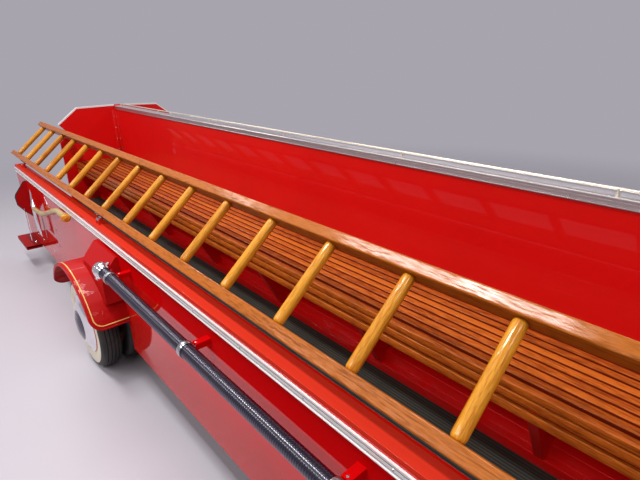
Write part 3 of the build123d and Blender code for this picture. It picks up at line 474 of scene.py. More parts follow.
# A darker copy of the body's red: painted shade on the rear fenders.
FENDER_RED = GlossPaint("fender_enamel", "red_paint", rgb(180, 9, 9), dust=0.08, coat=0.1)
GUARD_RED = GlossPaint("guard_enamel", "red_paint", rgb(156, 3, 6), 0.5, 0.03, 0.06)
DARK_RED = GlossPaint("shaded_enamel", "red_paint", rgb(124, 4, 8), 0.5, 0.05, 0.1)
FRAME_BLACK = GlossPaint("chassis_black", "black_paint", rgb(22, 22, 24), 0.45, 0.7, 0.35)
ENGINE_GREY = GlossPaint("engine_enamel", "black_paint", rgb(58, 74, 62), 0.5, 0.6, 0.2)
GOLD_LINE = GlossPaint("gold_lining", "brass_rod", rgb(240, 204, 120), 0.4, 0.0, 0.5)
DIAL = GlossPaint("dial_face", "bright_trim", rgb(226, 222, 206), 0.4, 0.0, 0.3)
SLAT_WOOD = VarnishedWood("bench_wood", "varnished_wood", rgb(202, 106, 32), rgb(116, 42, 8), contrast=0.16,
                          varnish=0.9, shaded_gaps=True)
STRINGER_WOOD = VarnishedWood("stringer_wood", "varnished_wood", rgb(180, 96, 12), rgb(100, 44, 6), board=0.4,
                              figure=7.0, contrast=0.25, varnish=0.8, haze=0.15)
RUNG_WOOD = VarnishedWood("rung_wood", "rung_wood", rgb(228, 156, 42), rgb(178, 102, 22), Run.ALONG_RUNG, 0.305, 6.0,
                          0.3, 0.9, 0.07)
HANDLE_WOOD = VarnishedWood("handle_wood", "axe_finish", rgb(196, 172, 122), rgb(160, 126, 76), board=4.0, figure=5.0)
TRIM = Metal("fluted_trim", "bright_trim", rgb(242, 238, 236), 0.3, True, 0.12, 0.3)
CAP_TRIM = Metal("cap_trim", "bright_trim", rgb(206, 200, 200), 0.3, True, 0.15)
# A darker chrome: painted reflection in the centre of the hub caps.
DARK_REFLECTION_CHROME = Metal("painted_reflection_chrome", "wheel_finish", rgb(74, 70, 86), 0.06)
CHROME = Metal("chrome", "chrome", rgb(232, 232, 236), 0.05)
STEEL = Metal("bright_steel", "chrome", rgb(196, 196, 200), 0.2, False, 0.3)
ROD_METAL = Metal("pale_rod", "brass_rod", rgb(236, 226, 206), 0.3)
BRONZE = Metal("bell_bronze", "brass_rod", rgb(220, 170, 82), 0.1)
# Painted shadow in the flutes of the side trim.
FLUTE_SHADOW_GREY = Rubber("flute_shadow", "bright_trim", rgb(92, 88, 88), 0.6, 0.1)
MAT = Rubber("mat_rubber", "mat_rubber", rgb(58, 60, 52), 0.66, 0.25, ribs=85.0)
HOSE = Rubber("hose_rubber", "hose_rubber", rgb(16, 12, 26), 0.3, 0.05, 0.8, tint=rgb(232, 222, 255))
BLACK_PLASTIC = Rubber("black_plastic", "black_paint", rgb(20, 20, 22), 0.3, 0.05, 0.4)
CORE = Rubber("radiator_core", "black_paint", rgb(34, 34, 36), 0.5, 0.1, ribs=240.0)
REAR_TYRE = TyreRubber("rear_tyre_rubber", "tyre_rubber", rgb(24, 24, 26), -1.39, 0.856)
FRONT_TYRE = TyreRubber("front_tyre_rubber", "tyre_rubber", rgb(24, 24, 26), 2.75, 0.664)
SEAT = Leather("seat_leather", "seat_leather", rgb(120, 24, 20))
PIPING = Leather("seat_piping", "seat_leather", rgb(214, 204, 180))
GLASS = Clear("clear_glass", "clear_glass", rgb(240, 246, 244))
LAMP_GLASS = Clear("lamp_glass", "clear_glass", rgb(244, 246, 246), 0.02, 90.0)
RED_LENS = Clear("red_lens", "clear_glass", rgb(190, 8, 10), 0.08, 160.0, 0.45)


@lru_cache(maxsize=None)
def material_of(finish: Finish) -> bpy.types.Material:
    """The material of a finish, made once.

    Args:
        finish: The finish.

    Returns:
        Its material.
    """
    material = bpy.data.materials.new(finish.name)
    mix = Recipe(material)
    mix.node("ShaderNodeOutputMaterial", {0: finish.shade(mix, mix.place())})
    return material


def moved(place: Point, degrees: float, axis: str) -> Matrix:
    """A turn about an axis, then a move to a place."""
    return Matrix.Translation(place) @ Matrix.Rotation(math.radians(degrees), 4, axis)


def circle(centre: Vector, across: Vector, up: Vector, radius: float, sides: int, flat: float = 1.0) -> list[Point]:
    """Points round a centre.

    Args:
        centre: The centre.
        across: The first direction.
        up: The second direction.
        radius: The radius in the first direction.
        sides: How many points there are.
        flat: The radius in the second direction, as a share of the first.

    Returns:
        The points.
    """
    turns = [2 * math.pi * step / sides for step in range(sides)]
    return [tuple(centre + across * (radius * math.cos(turn)) + up * (radius * flat * math.sin(turn)))
            for turn in turns]


class Shape:
    """A mesh under construction, in metres in the engine's own frame; most are made for the left side."""

    def __init__(self, mesh: Optional[bmesh.types.BMesh] = None) -> None:
        """Start empty or from a mesh."""
        self.mesh = bmesh.new() if mesh is None else mesh

    def strip(self, rings: Sequence[Sequence[Point]], capped: bool = True, looped: bool = False) -> "Shape":
        """Join closed rows of equally many points with faces.

        Args:
            rings: The rows.
            capped: Whether the first and last row are filled.
            looped: Whether the last row joins the first.

        Returns:
            This shape.
        """
        rows = [[self.mesh.verts.new(point) for point in ring] for ring in rings]
        for low, high in zip(rows, rows[1:] + (rows[:1] if looped else [])):
            for index, corner in enumerate(low):
                after = (index + 1) % len(low)
                self.mesh.faces.new((corner, low[after], high[after], high[index]))
        if capped and not looped:
            self.mesh.faces.new(rows[0][::-1])
            self.mesh.faces.new(rows[-1])
        return self

    def lathe(self, profile: Sequence[Pair], centre: Point, axis: Point, turns: int = 48) -> "Shape":
        """Turn a profile round an axis.

        Args:
            profile: (along, radius) pairs from the centre.
            centre: A point on the axis.
            axis: The axis's direction.
            turns: How many facets go round.

        Returns:
            This shape.
        """
        along = Vector(axis).normalized()
        out = along.orthogonal().normalized()
        return self.strip([circle(Vector(centre) + along * reach, out, along.cross(out), radius, turns)
                           for reach, radius in profile], capped=False)

    def tube(self, path: Sequence[Point], radius: float, sides: int = 10, flat: float = 1.0,
             face: Optional[Point] = None) -> "Shape":
        """Carry a round or flattened section along a path.

        Args:
            path: The points it follows.
            radius: Half its width.
            sides: How many facets go round.
            flat: Its thickness as a share of its width.
            face: The direction it is flattened in, or none.

        Returns:
            This shape.
        """
        points = [Vector(point) for point in path]
        normal = Vector(face) if face else (points[1] - points[0]).orthogonal()
        rings = []
        for before, point, after in zip([points[0]] + points, points, points[1:] + [points[-1]]):
            heading = (after - before).normalized()
            normal = (normal - heading * normal.dot(heading)).normalized()
            rings.append(circle(point, heading.cross(normal), normal, radius, sides, flat))
        return self.strip(rings)

    def bar(self, low: Point, high: Point, soften: float = 0.0015, matrix: Optional[Matrix] = None) -> "Shape":
        """A block between two corners with softened edges.

        Args:
            low: One corner.
            high: The opposite corner.
            soften: Width of the softened edges.
            matrix: How the block is moved once it is made.

        Returns:
            This shape.
        """
        since = len(self.mesh.verts)
        size = Vector([abs(part) for part in Vector(high) - Vector(low)])
        made = bmesh.ops.create_cube(self.mesh, size=1.0, matrix=Matrix.Translation((Vector(high) + Vector(low)) / 2)
                                     @ Matrix.Diagonal((*size, 1.0)))
        width = min(soften, 0.45 * min(size))
        if width > 0:
            edges = list({edge for vert in made["verts"] for edge in vert.link_edges})
            bmesh.ops.bevel(self.mesh, geom=edges, offset=width, segments=2, profile=0.5, affect="EDGES")
        if matrix:
            self.mesh.verts.ensure_lookup_table()
            bmesh.ops.transform(self.mesh, matrix=matrix, verts=self.mesh.verts[since:])
        return self

    def drawn(self, outline: Sequence[Pair], start_x: float, end_x: float) -> "Shape":
        """A section given as (outward, up) points, drawn lengthwise."""
        return self.strip([[(x, out, up) for out, up in outline] for x in (start_x, end_x)])

    def dome(self, place: Point, out: Point, radius: float, rise: float, turns: int = 12) -> "Shape":
        """A screw or bolt head that stands on a face."""
        rows = ((0.0, radius), (0.35, radius * 0.94), (0.8, radius * 0.6), (1.0, 0.0))
        return self.lathe([(share * rise, size) for share, size in rows], place, out, turns)

    def mirrored(self) -> "Shape":
        """A copy on the other side of the engine.

        Returns:
            The copy.
        """
        other = Shape(self.mesh.copy())
        bmesh.ops.scale(other.mesh, vec=(1.0, -1.0, 1.0), verts=other.mesh.verts)
        return other

    def both(self) -> "Shape":
        """Add the mirror image to this shape.

        Returns:
            This shape.
        """
        other = self.mirrored()
        data = bpy.data.meshes.new("mirror")
        other.mesh.to_mesh(data)
        other.mesh.free()
        self.mesh.from_mesh(data)
        bpy.data.meshes.remove(data)
        return self

    def place(self, name: str, finish: Finish, body: str = "engine_body", sharp: float = 38.0, slot: str = "",
              node: str = "") -> bpy.types.Object:
        """Turn the shape into a piece that rides on a body.

        Args:
            name: The piece's name.
            finish: Its finish.
            body: The CAD body it rides on.
            sharp: Edges that turn by more than this many degrees stay sharp.
            slot: The record's material slot, where it isn't the finish's own; it is not used.
            node: The CAD node it stands for, or none.

        Returns:
            The piece.
        """
        bmesh.ops.remove_doubles(self.mesh, verts=self.mesh.verts, dist=1e-6)
        bmesh.ops.recalc_face_normals(self.mesh, faces=self.mesh.faces)
        data = bpy.data.meshes.new(name)
        self.mesh.to_mesh(data)
        self.mesh.free()
        for polygon in data.polygons:
            polygon.use_smooth = True
        data.set_sharp_from_angle(angle=math.radians(sharp))
        data.materials.append(material_of(finish))
        piece = bpy.data.objects.new(name, data)
        bpy.context.scene.collection.objects.link(piece)
        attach(piece, body)
        if node:
            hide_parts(node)
        log.info("%s: %d faces on %s", name, len(data.polygons), body)
        return piece

    def pair(self, name: str, finish: Finish, body: str = "engine_body", node: str = "", **options: Any) -> None:
        """Turn the shape and its mirror image into a left and a right piece.

        Args:
            name: The pieces' name, without the side.
            finish: Their finish.
            body: The CAD body they ride on, with {} for the side.
            node: The CAD node they stand for, with {} for the side; without {}, the right one stands for it.
            options: The sharp and slot of each piece.
        """
        for side, shape in (("right", self.mirrored()), ("left", self)):
            stands_for = node.format(side) if side == "right" or "{}" in node else ""
            shape.place(f"{name}_{side}", finish, body.format(side), node=stands_for, **options)


def dress(finish: Finish, nodes: str, soften: float = 0.0) -> None:
    """Give CAD nodes a finish and, where asked, softened edges.

    Args:
        finish: The finish.
        nodes: The nodes' names with spaces between.
        soften: Width of the softened edges, or 0.
    """
    for name in nodes.split():
        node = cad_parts[name]
        for index in range(max(1, len(node.data.materials))):
            if len(node.data.materials) <= index:
                node.data.materials.append(material_of(finish))
            node.material_slots[index].material = material_of(finish)
        if soften:
            node.modifiers.new("weld", "WELD").merge_threshold = 1e-5
            edges = node.modifiers.new("edges", "BEVEL")
            edges.width = soften
            edges.segments = 2
            edges.limit_method = "ANGLE"
            edges.angle_limit = math.radians(40)
            edges.harden_normals = True
            edges.use_clamp_overlap = True
        log.info("dressed %s in %s", name, finish.name)


@dataclass
class Tyres:
    """Ribbed tyres with a raised band on the outer wall, and pressed hub caps."""

    radius: float = 0.265
    width: float = 0.115
    rim: float = 0.152
    ribs: int = 5
    crown: float = 0.0095
    groove: float = 0.0055
    groove_width: float = 0.0045
    twin: Pair = (0.7025, 0.8425)
    single: float = 0.650
    rear_x: float = -1.390
    front_x: float = 2.750

    def profile(self) -> list[Pair]:
        """The tyre's section as (along the axle, radius) pairs.

        Returns:
            The section, from the inner bead to the outer bead.
        """
        half = self.width / 2
        wall = [(0.012 - half, self.rim), (0.008 - half, self.rim + 0.012), (0.002 - half, self.rim + 0.035),
                (-half, self.rim + 0.058), (0.0015 - half, self.rim + 0.078), (0.005 - half, self.radius - 0.022),
                (0.009 - half, self.radius - 0.013)]
        flat = half - 0.011
        pitch = 2 * flat / self.ribs
        gap = self.groove_width / 2
        spots = []
        for index in range(self.ribs):
            start, edge = index * pitch - flat, (index + 1) * pitch - flat
            for share in (0.04, 0.5, 0.96):
                at = start + gap + share * (pitch - 2 * gap)
                spots.append((at, at, 0.0))
            if index < self.ribs - 1:
                spots += [(edge + way * (gap - 0.0008), edge, self.groove) for way in (-1, 1)]
        tread = [(along, self.radius - self.crown * (at / flat) ** 2 - depth) for along, at, depth in spots]
        return wall + tread + [(-along, radius) for along, radius in reversed(wall)]

    def cap(self, end: str, place: Point, body: str) -> None:
        """A pressed cap over the outer face of a pair of wheels.

        Args:
            end: Which axle they are on.
            place: The outer tyre's middle.
            body: The wheels' body, with {} for the side.
        """
        base = self.width / 2 - 0.0057
        profile = [(base + rise, radius) for rise, radius in (
            (-0.001, 0.1645), (0.004, 0.1655), (0.007, 0.161), (0.0065, 0.146), (0.0085, 0.141), (0.0165, 0.128),
            (0.0225, 0.114), (0.0235, 0.110), (0.0245, 0.106), (0.0315, 0.086), (0.0375, 0.062), (0.0392, 0.057),
            (0.0382, 0.053), (0.0398, 0.049), (0.0432, 0.030), (0.0442, 0.014), (0.0444, 0.0))]
        Shape().lathe(profile, place, Y, 72).pair(f"hub_cap_{end}", CHROME, body, sharp=50, slot="wheel_finish")
        # Painted reflection: the cap's centre is covered by a darker chrome copy that stands for the dark reflection in
        # its dome.
        centre = [(along + 0.0005, radius) for along, radius in profile[-8:]]
        Shape().lathe(centre, place, Y, 72).pair(f"hub_centre_{end}", DARK_REFLECTION_CHROME, body, sharp=50)

    def build(self) -> None:
        """Make the tyres and caps of all six wheels."""
        for end, x, middles, name, finish, wheel, tyre in (
                ("rear", self.rear_x, self.twin, "rear_twin_tyres", REAR_TYRE, "rear_wheels_{}", "rear_tyres_{}"),
                ("front", self.front_x, (self.single,), "front_single_tyre", FRONT_TYRE, "front_wheel_{}",
                 "front_tyre_{}")):
            tyres = Shape()
            for middle in middles:
                tyres.lathe(self.profile(), (x, middle, self.radius), Y, 112)
            tyres.pair(name, finish, wheel, tyre, sharp=30)
            self.cap(end, (x, middles[-1], self.radius), wheel)


@dataclass
class SuctionHoses:
    """Ribbed hoses with lugged couplings and strap clamps."""

    y: float = 0.850
    z: float = 0.702
    radius: float = 0.0262
    rear_x: float = -1.055
    length: float = 2.5
    pitch: float = 0.0092
    rib: float = 0.0016
    end: float = 0.012
    clamps: tuple[float, ...] = (-0.915, -0.17507, 0.56493, 1.305)

    def hose(self) -> None:
        """Make the hoses."""
        count = int((self.length - 2 * self.end) / self.pitch)
        profile = [(self.end, 0.0)]
        for index in range(count):
            at = self.end + index * self.pitch
            profile += [(at, self.radius - self.rib), (at + 0.3 * self.pitch, self.radius),
                        (at + 0.7 * self.pitch, self.radius)]
        profile += [(self.end + count * self.pitch, self.radius - self.rib), (self.length - self.end, 0.0)]
        Shape().lathe(profile, (self.rear_x, self.y, self.z), X, 28).pair(
            "suction_hose", HOSE, sharp=60, node="suction_hoses")

    def fittings(self) -> None:
        """Make the couplings and clamps."""
        ring = ((0.0, 0.0), (0.0, 0.024), (0.001, 0.026), (0.001, 0.034), (0.003, 0.0375), (0.013, 0.0375),
                (0.015, 0.035), (0.018, 0.035), (0.020, 0.0395), (0.024, 0.040), (0.042, 0.040), (0.045, 0.0385),
                (0.047, 0.0345), (0.058, 0.0335), (0.061, 0.0325), (0.064, 0.0335), (0.067, 0.0320),
                (0.070, 0.0300), (0.070, 0.0270))
        couplings, clamps = Shape(), Shape()
        for end, inward in ((self.rear_x, 1), (self.rear_x + self.length, -1)):
            couplings.lathe([(inward * along, radius) for along, radius in ring], (end, self.y, self.z), X)
            for lug in range(4):
                couplings.bar((-0.009, -0.0065, 0.036), (0.009, 0.0065, 0.0485), 0.003,
                              moved((end + inward * 0.033, self.y, self.z), 45 + 90 * lug, "X"))
        for x in self.clamps:
            clamps.lathe([(-0.011, 0.0265), (-0.011, 0.0295), (-0.009, 0.0305), (0.009, 0.0305), (0.011, 0.0295),
                          (0.011, 0.0265)], (x, self.y, self.z), X, 40)
            for low in (self.z - 0.0045, self.z + 0.0015):
                clamps.bar((x - 0.011, self.y - 0.054, low), (x + 0.011, self.y - 0.026, low + 0.003), 0.0006)
            bolt = (x, self.y - 0.041, self.z)
            clamps.lathe([(-0.014, 0.0), (-0.014, 0.0055), (-0.0095, 0.0065), (-0.0045, 0.0065)], bolt, Z, 6)
            clamps.lathe([(0.0045, 0.0062), (0.0095, 0.0062), (0.0125, 0.004), (0.0135, 0.0)], bolt, Z, 12)
        couplings.pair("hose_couplings", CHROME, node="hose_fittings")
        clamps.pair("hose_clamps", STEEL)

    def build(self) -> None:
        """Make both hoses and their fittings."""
        self.hose()
        self.fittings()


@dataclass
class RearFenders:
    """Rolled edges and gold lining on the rear fenders."""

    x: float = -1.390
    z: float = 0.240
    radius: float = 0.385
    edge_y: float = 0.946
    panel_y: float = 0.760
    end_z: float = 0.385
    corner: float = 0.065

    def edge(self, inset: float, lift: float) -> tuple[list[Point], list[Vector]]:
        """A line that runs inside the fender's edge from one end's root to the other's.

        Args:
            inset: Distance inside the edge.
            lift: Height above the sheet.

        Returns:
            The line's points, and the direction out of the sheet at each.
        """
        low = math.asin((self.end_z + inset - self.z) / self.radius)
        bend, out, steps = self.corner - inset, self.edge_y - inset, 8
        first = [(low, self.panel_y + 0.001), (low, out - bend)]
        for turn in (math.pi / 2 * step / steps for step in range(1, steps + 1)):
            first.append((low + bend * (1 - math.cos(turn)) / self.radius, out - bend + bend * math.sin(turn)))
        last = first[-1][0]
        arc = [(last + (math.pi - 2 * last) * step / 40, out) for step in range(1, 40)]
        line = first + arc + [(math.pi - angle, y) for angle, y in reversed(first)]
        normals = [Vector((math.cos(angle), 0.0, math.sin(angle))) for angle, _ in line]
        points = [(self.x + (self.radius + lift) * normal.x, y, self.z + (self.radius + lift) * normal.z)
                  for normal, (_, y) in zip(normals, line)]
        return points, normals

    def build(self) -> None:
        """Make the edges and lining of both fenders."""
        Shape().tube(self.edge(0.0049, -0.003)[0], 0.0048, 10).pair("rear_fender_bead", FENDER_RED)
        points, normals = self.edge(0.020, 0.0)
        rings = []
        for before, point, after, normal in zip(points[:1] + points, points, points[1:] + points[-1:], normals):
            across = (Vector(after) - Vector(before)).normalized().cross(normal).normalized() * 0.0028
            lift = normal * 0.0009
            rings.append([tuple(Vector(point) + across * share + lift * way)
                          for share, way in ((-1, -1), (-0.8, 1), (0.8, 1), (1, -1))])
        Shape().strip(rings).pair("rear_fender_lining", GOLD_LINE)


@dataclass
class Trims:
    """Fluted strips on the side panels and a cap along the wall, with their screws."""

    rear_x: float = -3.450
    wall_rear_x: float = -2.940
    front_x: float = 1.560
    side_y: float = 0.760
    side_low: float = 0.762
    side_height: float = 0.035
    wall_half: float = 0.030
    wall_low: float = 1.259
    wall_top: float = 1.285
    face: float = 0.0046
    bead: float = 0.006
    groove: float = 0.0034
    flutes: Pair = (0.32, 0.68)
    screw_pitch: float = 0.31

    def section(self, base: float, low: float, height: float, bead: float) -> list[Pair]:
        """The outer face of a strip from its low edge to its high edge.

        Args:
            base: How far out the strip's back lies.
            low: Height of its low edge.
            height: How tall it is.
            bead: How wide the rolled edges are.

        Returns:
            The face as (outward, up) points.
        """
        face, proud, half = base + self.face, base + self.bead, self.groove / 2
        points = [(base, low), (proud, low + 0.0008), (proud, low + bead), (face, low + bead + 0.001)]
        for middle in (low + share * height for share in self.flutes):
            points += [(face, middle - half), (base + 0.0008, middle - half + 0.0003),
                       (base + 0.0008, middle + half - 0.0003), (face, middle + half)]
        high = low + height
        return points + [(face, high - bead - 0.001), (proud, high - bead), (proud, high - 0.0008), (base, high)]

    def build(self) -> None:
        """Make the strips and their screws."""
        strips, lines, screws = Shape(), Shape(), Shape()
        strips.drawn(self.section(self.side_y, self.side_low, self.side_height, 0.005), self.rear_x, self.front_x)
        # Painted shadow: grey strips fill the bottom of each flute.
        near, far = self.side_y + 0.0006, self.side_y + self.face - 0.0008
        for share in self.flutes:
            low = self.side_low + share * self.side_height - self.groove / 2
            lines.drawn([(near, low), (far, low), (far, low + self.groove), (near, low + self.groove)],
                        self.rear_x, self.front_x)
        for index in range(int((self.front_x - self.rear_x - 0.1) / self.screw_pitch) + 1):
            x = self.rear_x + 0.08 + index * self.screw_pitch
            screws.dome((x, self.side_y + self.face, self.side_low + 0.5 * self.side_height), Y, 0.0034, 0.0013)
            if x > self.wall_rear_x:
                screws.dome((x, self.wall_half + self.face, self.wall_low + 0.006), Y, 0.0028, 0.0012)
        half = self.section(self.wall_half, self.wall_low, self.wall_top - self.wall_low, 0.0035)[:-1]
        half += [(self.wall_half + 0.004, self.wall_top + 0.0006), (self.wall_half - 0.014, self.wall_top + 0.0022)]
        cap = Shape().drawn(half + [(-out, up) for out, up in reversed(half)], self.wall_rear_x, self.front_x)
        strips.both().place("fluted_strips", TRIM, sharp=25, node="trim_strips")
        lines.both().place("flute_shadow_lines", FLUTE_SHADOW_GREY, sharp=25)
        cap.place("wall_cap", CAP_TRIM, sharp=25)
        screws.both().place("strip_screws", STEEL)


@dataclass
class Benches:
    """Planed slats with crisp edges on both benches."""

    start_x: float = -2.920
    end_x: float = 1.540
    top_z: float = 0.870
    thickness: float = 0.018
    width: float = 0.026
    pitch: float = 0.0355
    first_y: float = 0.060
    count: int = 9
    nose_y: Pair = (0.384, 0.410)
    front_y: Pair = (0.396, 0.410)
    front_z: tuple[Pair, ...] = ((0.823, 0.846), (0.787, 0.810))

    def build(self) -> None:
        """Make every slat."""
        starts = [self.first_y + index * self.pitch for index in range(self.count)]
        level = (self.top_z - self.thickness, self.top_z)
        rows = [((near, near + self.width), level) for near in starts] + [(self.nose_y, level)]
        slats = Shape()
        for (near, far), (bottom, top) in rows + [(self.front_y, reach) for reach in self.front_z]:
            slats.bar((self.start_x, near, bottom), (self.end_x, far, top), 0.0011)
        slats.pair("planed_slats", SLAT_WOOD, sharp=50, node="bench_slats")


@dataclass
class Ladders:
    """Turned rungs with shouldered ends, and bolts on the hinge straps."""

    foot: Pair = (0.696, 0.894)
    tilt: float = 41.0
    length: float = 0.296
    radius: float = 0.0185
    tenon: float = 0.011
    first_x: float = -3.508
    pitch: float = 0.305
    count: int = 18
    hinges: tuple[float, ...] = (-3.240, -1.370, 1.290)

    def build(self) -> None:
        """Make the rungs and bolts of both ladders."""
        sine, cosine = math.sin(math.radians(self.tilt)), math.cos(math.radians(self.tilt))
        end = [(0.0, self.radius - 0.0052), (0.0022, self.radius - 0.0026), (0.0058, self.radius - 0.0007),
               (0.012, self.radius)]
        profile = [(-0.015, self.tenon), (0.0, self.tenon), *end]
        profile += [(self.length - along, radius) for along, radius in reversed(profile)]
        rungs, bolts = Shape(), Shape()
        for index in range(self.count):
            rungs.lathe(profile, (self.first_x + index * self.pitch, *self.foot), (0.0, -cosine, sine), 24)
        for x in self.hinges:
            for out in (-0.012, 0.010):
                bolts.dome((x, self.foot[0] + 0.042 * cosine + out * sine, self.foot[1] - 0.042 * sine + out * cosine),
                           (0.0, cosine, -sine), 0.006, 0.004)
        rungs.pair("turned_rungs", RUNG_WOOD, "ladder_{}", "ladder_rungs_{}", sharp=50)
        bolts.pair("hinge_bolts", STEEL, "ladder_{}")


@dataclass
class Axes:
    """Fire axes: a plated head with its pick up, a curved pale handle and a turned knob."""

    y: float = 0.800
    radius: float = 0.017
    line: tuple[Pair, ...] = ((-2.752, 0.593), (-2.530, 0.612), (-2.280, 0.676), (-2.100, 0.732), (-1.960, 0.762),
                              (-1.790, 0.764))
    head: tuple[tuple[float, float, float, float], ...] = (
        (0.744, -2.7635, -2.7575, 0.0025), (0.700, -2.7675, -2.7470, 0.006), (0.652, -2.7720, -2.7365, 0.009),
        (0.622, -2.7900, -2.7165, 0.0118), (0.560, -2.7900, -2.7165, 0.0118), (0.520, -2.7960, -2.7100, 0.010),
        (0.450, -2.8120, -2.6960, 0.006), (0.388, -2.8270, -2.6830, 0.0015))

    def curve(self, steps: int = 8) -> list[Point]:
        """The handle's middle line.

        Args:
            steps: How many points each stretch has.

        Returns:
            The points of a smooth curve through the line's own points.
        """
        line = [self.line[0], *self.line, self.line[-1]]
        points = []
        for stretch in zip(line, line[1:], line[2:], line[3:]):
            for t in (step / steps for step in range(steps)):
                x, z = (0.5 * (2 * q + (r - p) * t + (2 * p - 5 * q + 4 * r - e) * t * t
                               + (3 * q - p - 3 * r + e) * t ** 3) for p, q, r, e in zip(*stretch))
                points.append((x, self.y, z))
        return points + [(self.line[-1][0], self.y, self.line[-1][1])]

    def build(self) -> None:
        """Make both axes."""
        path = self.curve()
        Shape().tube(path, self.radius, 20).pair("axe_handle", HANDLE_WOOD, sharp=60)
        knob = ((-0.030, 0.0), (-0.029, 0.016), (-0.022, 0.0205), (-0.012, 0.0255), (0.0, 0.0275), (0.010, 0.0255),
                (0.018, 0.019), (0.0225, 0.010), (0.0235, 0.0))
        Shape().lathe(knob, path[-1], X, 28).pair("axe_knob", RUNG_WOOD, sharp=60, slot="axe_finish")
        rings = []
        for z, rear, front, half in self.head:
            near, far, edge = self.y - half, self.y + half, half * 0.3
            rings.append([(rear, self.y + edge, z), (rear + 0.005, far, z), (front - 0.005, far, z),
                          (front, self.y + edge, z), (front, self.y - edge, z), (front - 0.005, near, z),
                          (rear + 0.005, near, z), (rear, self.y - edge, z)])
        Shape().strip(rings).pair("axe_head", CHROME, sharp=30, node="fire_axes")


@dataclass
class BodyDetails:
    """Edges, angle strips, bolts, and darker plates that paint shade, on the body's fixed panels."""

    rear_x: float = -2.960
    front_x: float = 1.560
    thickness: float = 0.020
    slope: tuple[Pair, ...] = ((0.037, 1.295), (0.326, 1.287), (0.4783, 1.1694))
    guard_x: float = -3.120
    guard: tuple[Pair, ...] = ((0.0, 0.735), (0.015, 0.735), (0.088, 0.640), (0.096, 0.618), (0.092, 0.553),
                               (0.046, 0.486), (0.0, 0.440))
    panel_y: float = 0.760
    step_x: Pair = (-3.400, -3.040)
    step_width: float = 0.115
    step_top: float = 0.212
    fold: float = 0.026
    sheet: float = 0.003

    def edging(self) -> None:
        """A bright strip over the sloping edges of both bulkheads."""
        for name, x in (("rear", self.rear_x), ("front", self.front_x)):
            near, far = x - 0.0015, x + self.thickness + 0.0015
            Shape().strip([[(near, out, up - 0.008), (far, out, up - 0.008), (far, out + 0.0012, up + 0.0022),
                            (near, out + 0.0012, up + 0.0022)] for out, up in self.slope]).both().place(
                f"{name}_bulkhead_edging", TRIM)

    def corners(self) -> None:
        """Angle strips with screws where the bulkheads meet the wall."""
        angles, screws = Shape(), Shape()
        for x, way in ((self.rear_x + self.thickness, 1), (self.front_x, -1)):
            for deep, wide in ((0.030, self.sheet), (self.sheet, 0.030)):
                angles.bar((x, 0.0305, 0.872), (x + way * deep, 0.0305 + wide, 1.252), 0.0008)
            for z in (0.93, 1.02, 1.11, 1.20):
                screws.dome((x + way * self.sheet, 0.050, z), (way, 0, 0), 0.0042, 0.002)
                screws.dome((x + way * 0.020, 0.0335, z), Y, 0.0042, 0.002)
        angles.both().place("corner_angles", RED)
        screws.both().place("corner_screws", STEEL)

    def fittings(self) -> None:
        """Guard edges, step plates with painted shade, and their bolts."""
        rims, pads, bolts, holes, folds, rods = (Shape() for _ in range(6))
        rear, front = self.step_x
        outer = self.panel_y + self.step_width
        low, high = self.step_top - self.fold, self.step_top + 0.0015
        rims.tube([(self.guard_x + 0.003, self.panel_y + out, up) for out, up in self.guard], 0.0042, 8)
        # Painted shade: a darker plate over the inner half of each step.
        pads.bar((rear + 0.02, self.panel_y + 0.006, 0.2118), (front - 0.02, self.panel_y + 0.058, 0.2142), 0.001)
        for x, way in ((rear, 1), (front, -1)):
            folds.bar((x, self.panel_y, low), (x + way * self.sheet, outer, high), 0.001)
            bolts.dome((x + way * 0.09, self.panel_y + 0.030, 0.2140), Z, 0.009, 0.007)
        folds.bar((rear, outer - self.sheet, low), (front, outer, high), 0.001)
        rods.tube([(self.guard_x + 0.003, self.panel_y + 0.055, z) for z in (self.guard[5][1] + 0.03, self.step_top)],
                  0.0038, 10)
        for x in (-3.09, -2.60, -2.0):
            bolts.dome((x, self.panel_y, 0.290), Y, 0.006, 0.004)
        # Painted shade: black discs stand for the dark inside of two holes in the panel.
        for z in (0.520, 0.400):
            holes.lathe([(0.0, 0.006), (0.0008, 0.006), (0.0010, 0.0)], (-2.36, self.panel_y, z), Y, 16)
        for name, shape, finish in (
                ("guard_rims", rims, BLACK_PLASTIC), ("step_shade_plates", pads, DARK_RED), ("step_folds", folds, GUARD_RED),
                ("step_rods", rods, CHROME), ("step_bolts", bolts, CHROME), ("panel_hole_shades", holes, BLACK_PLASTIC)):
            shape.both().place(name, finish)

    def build(self) -> None:
        """Make them all."""
        self.edging()
        self.corners()
        self.fittings()


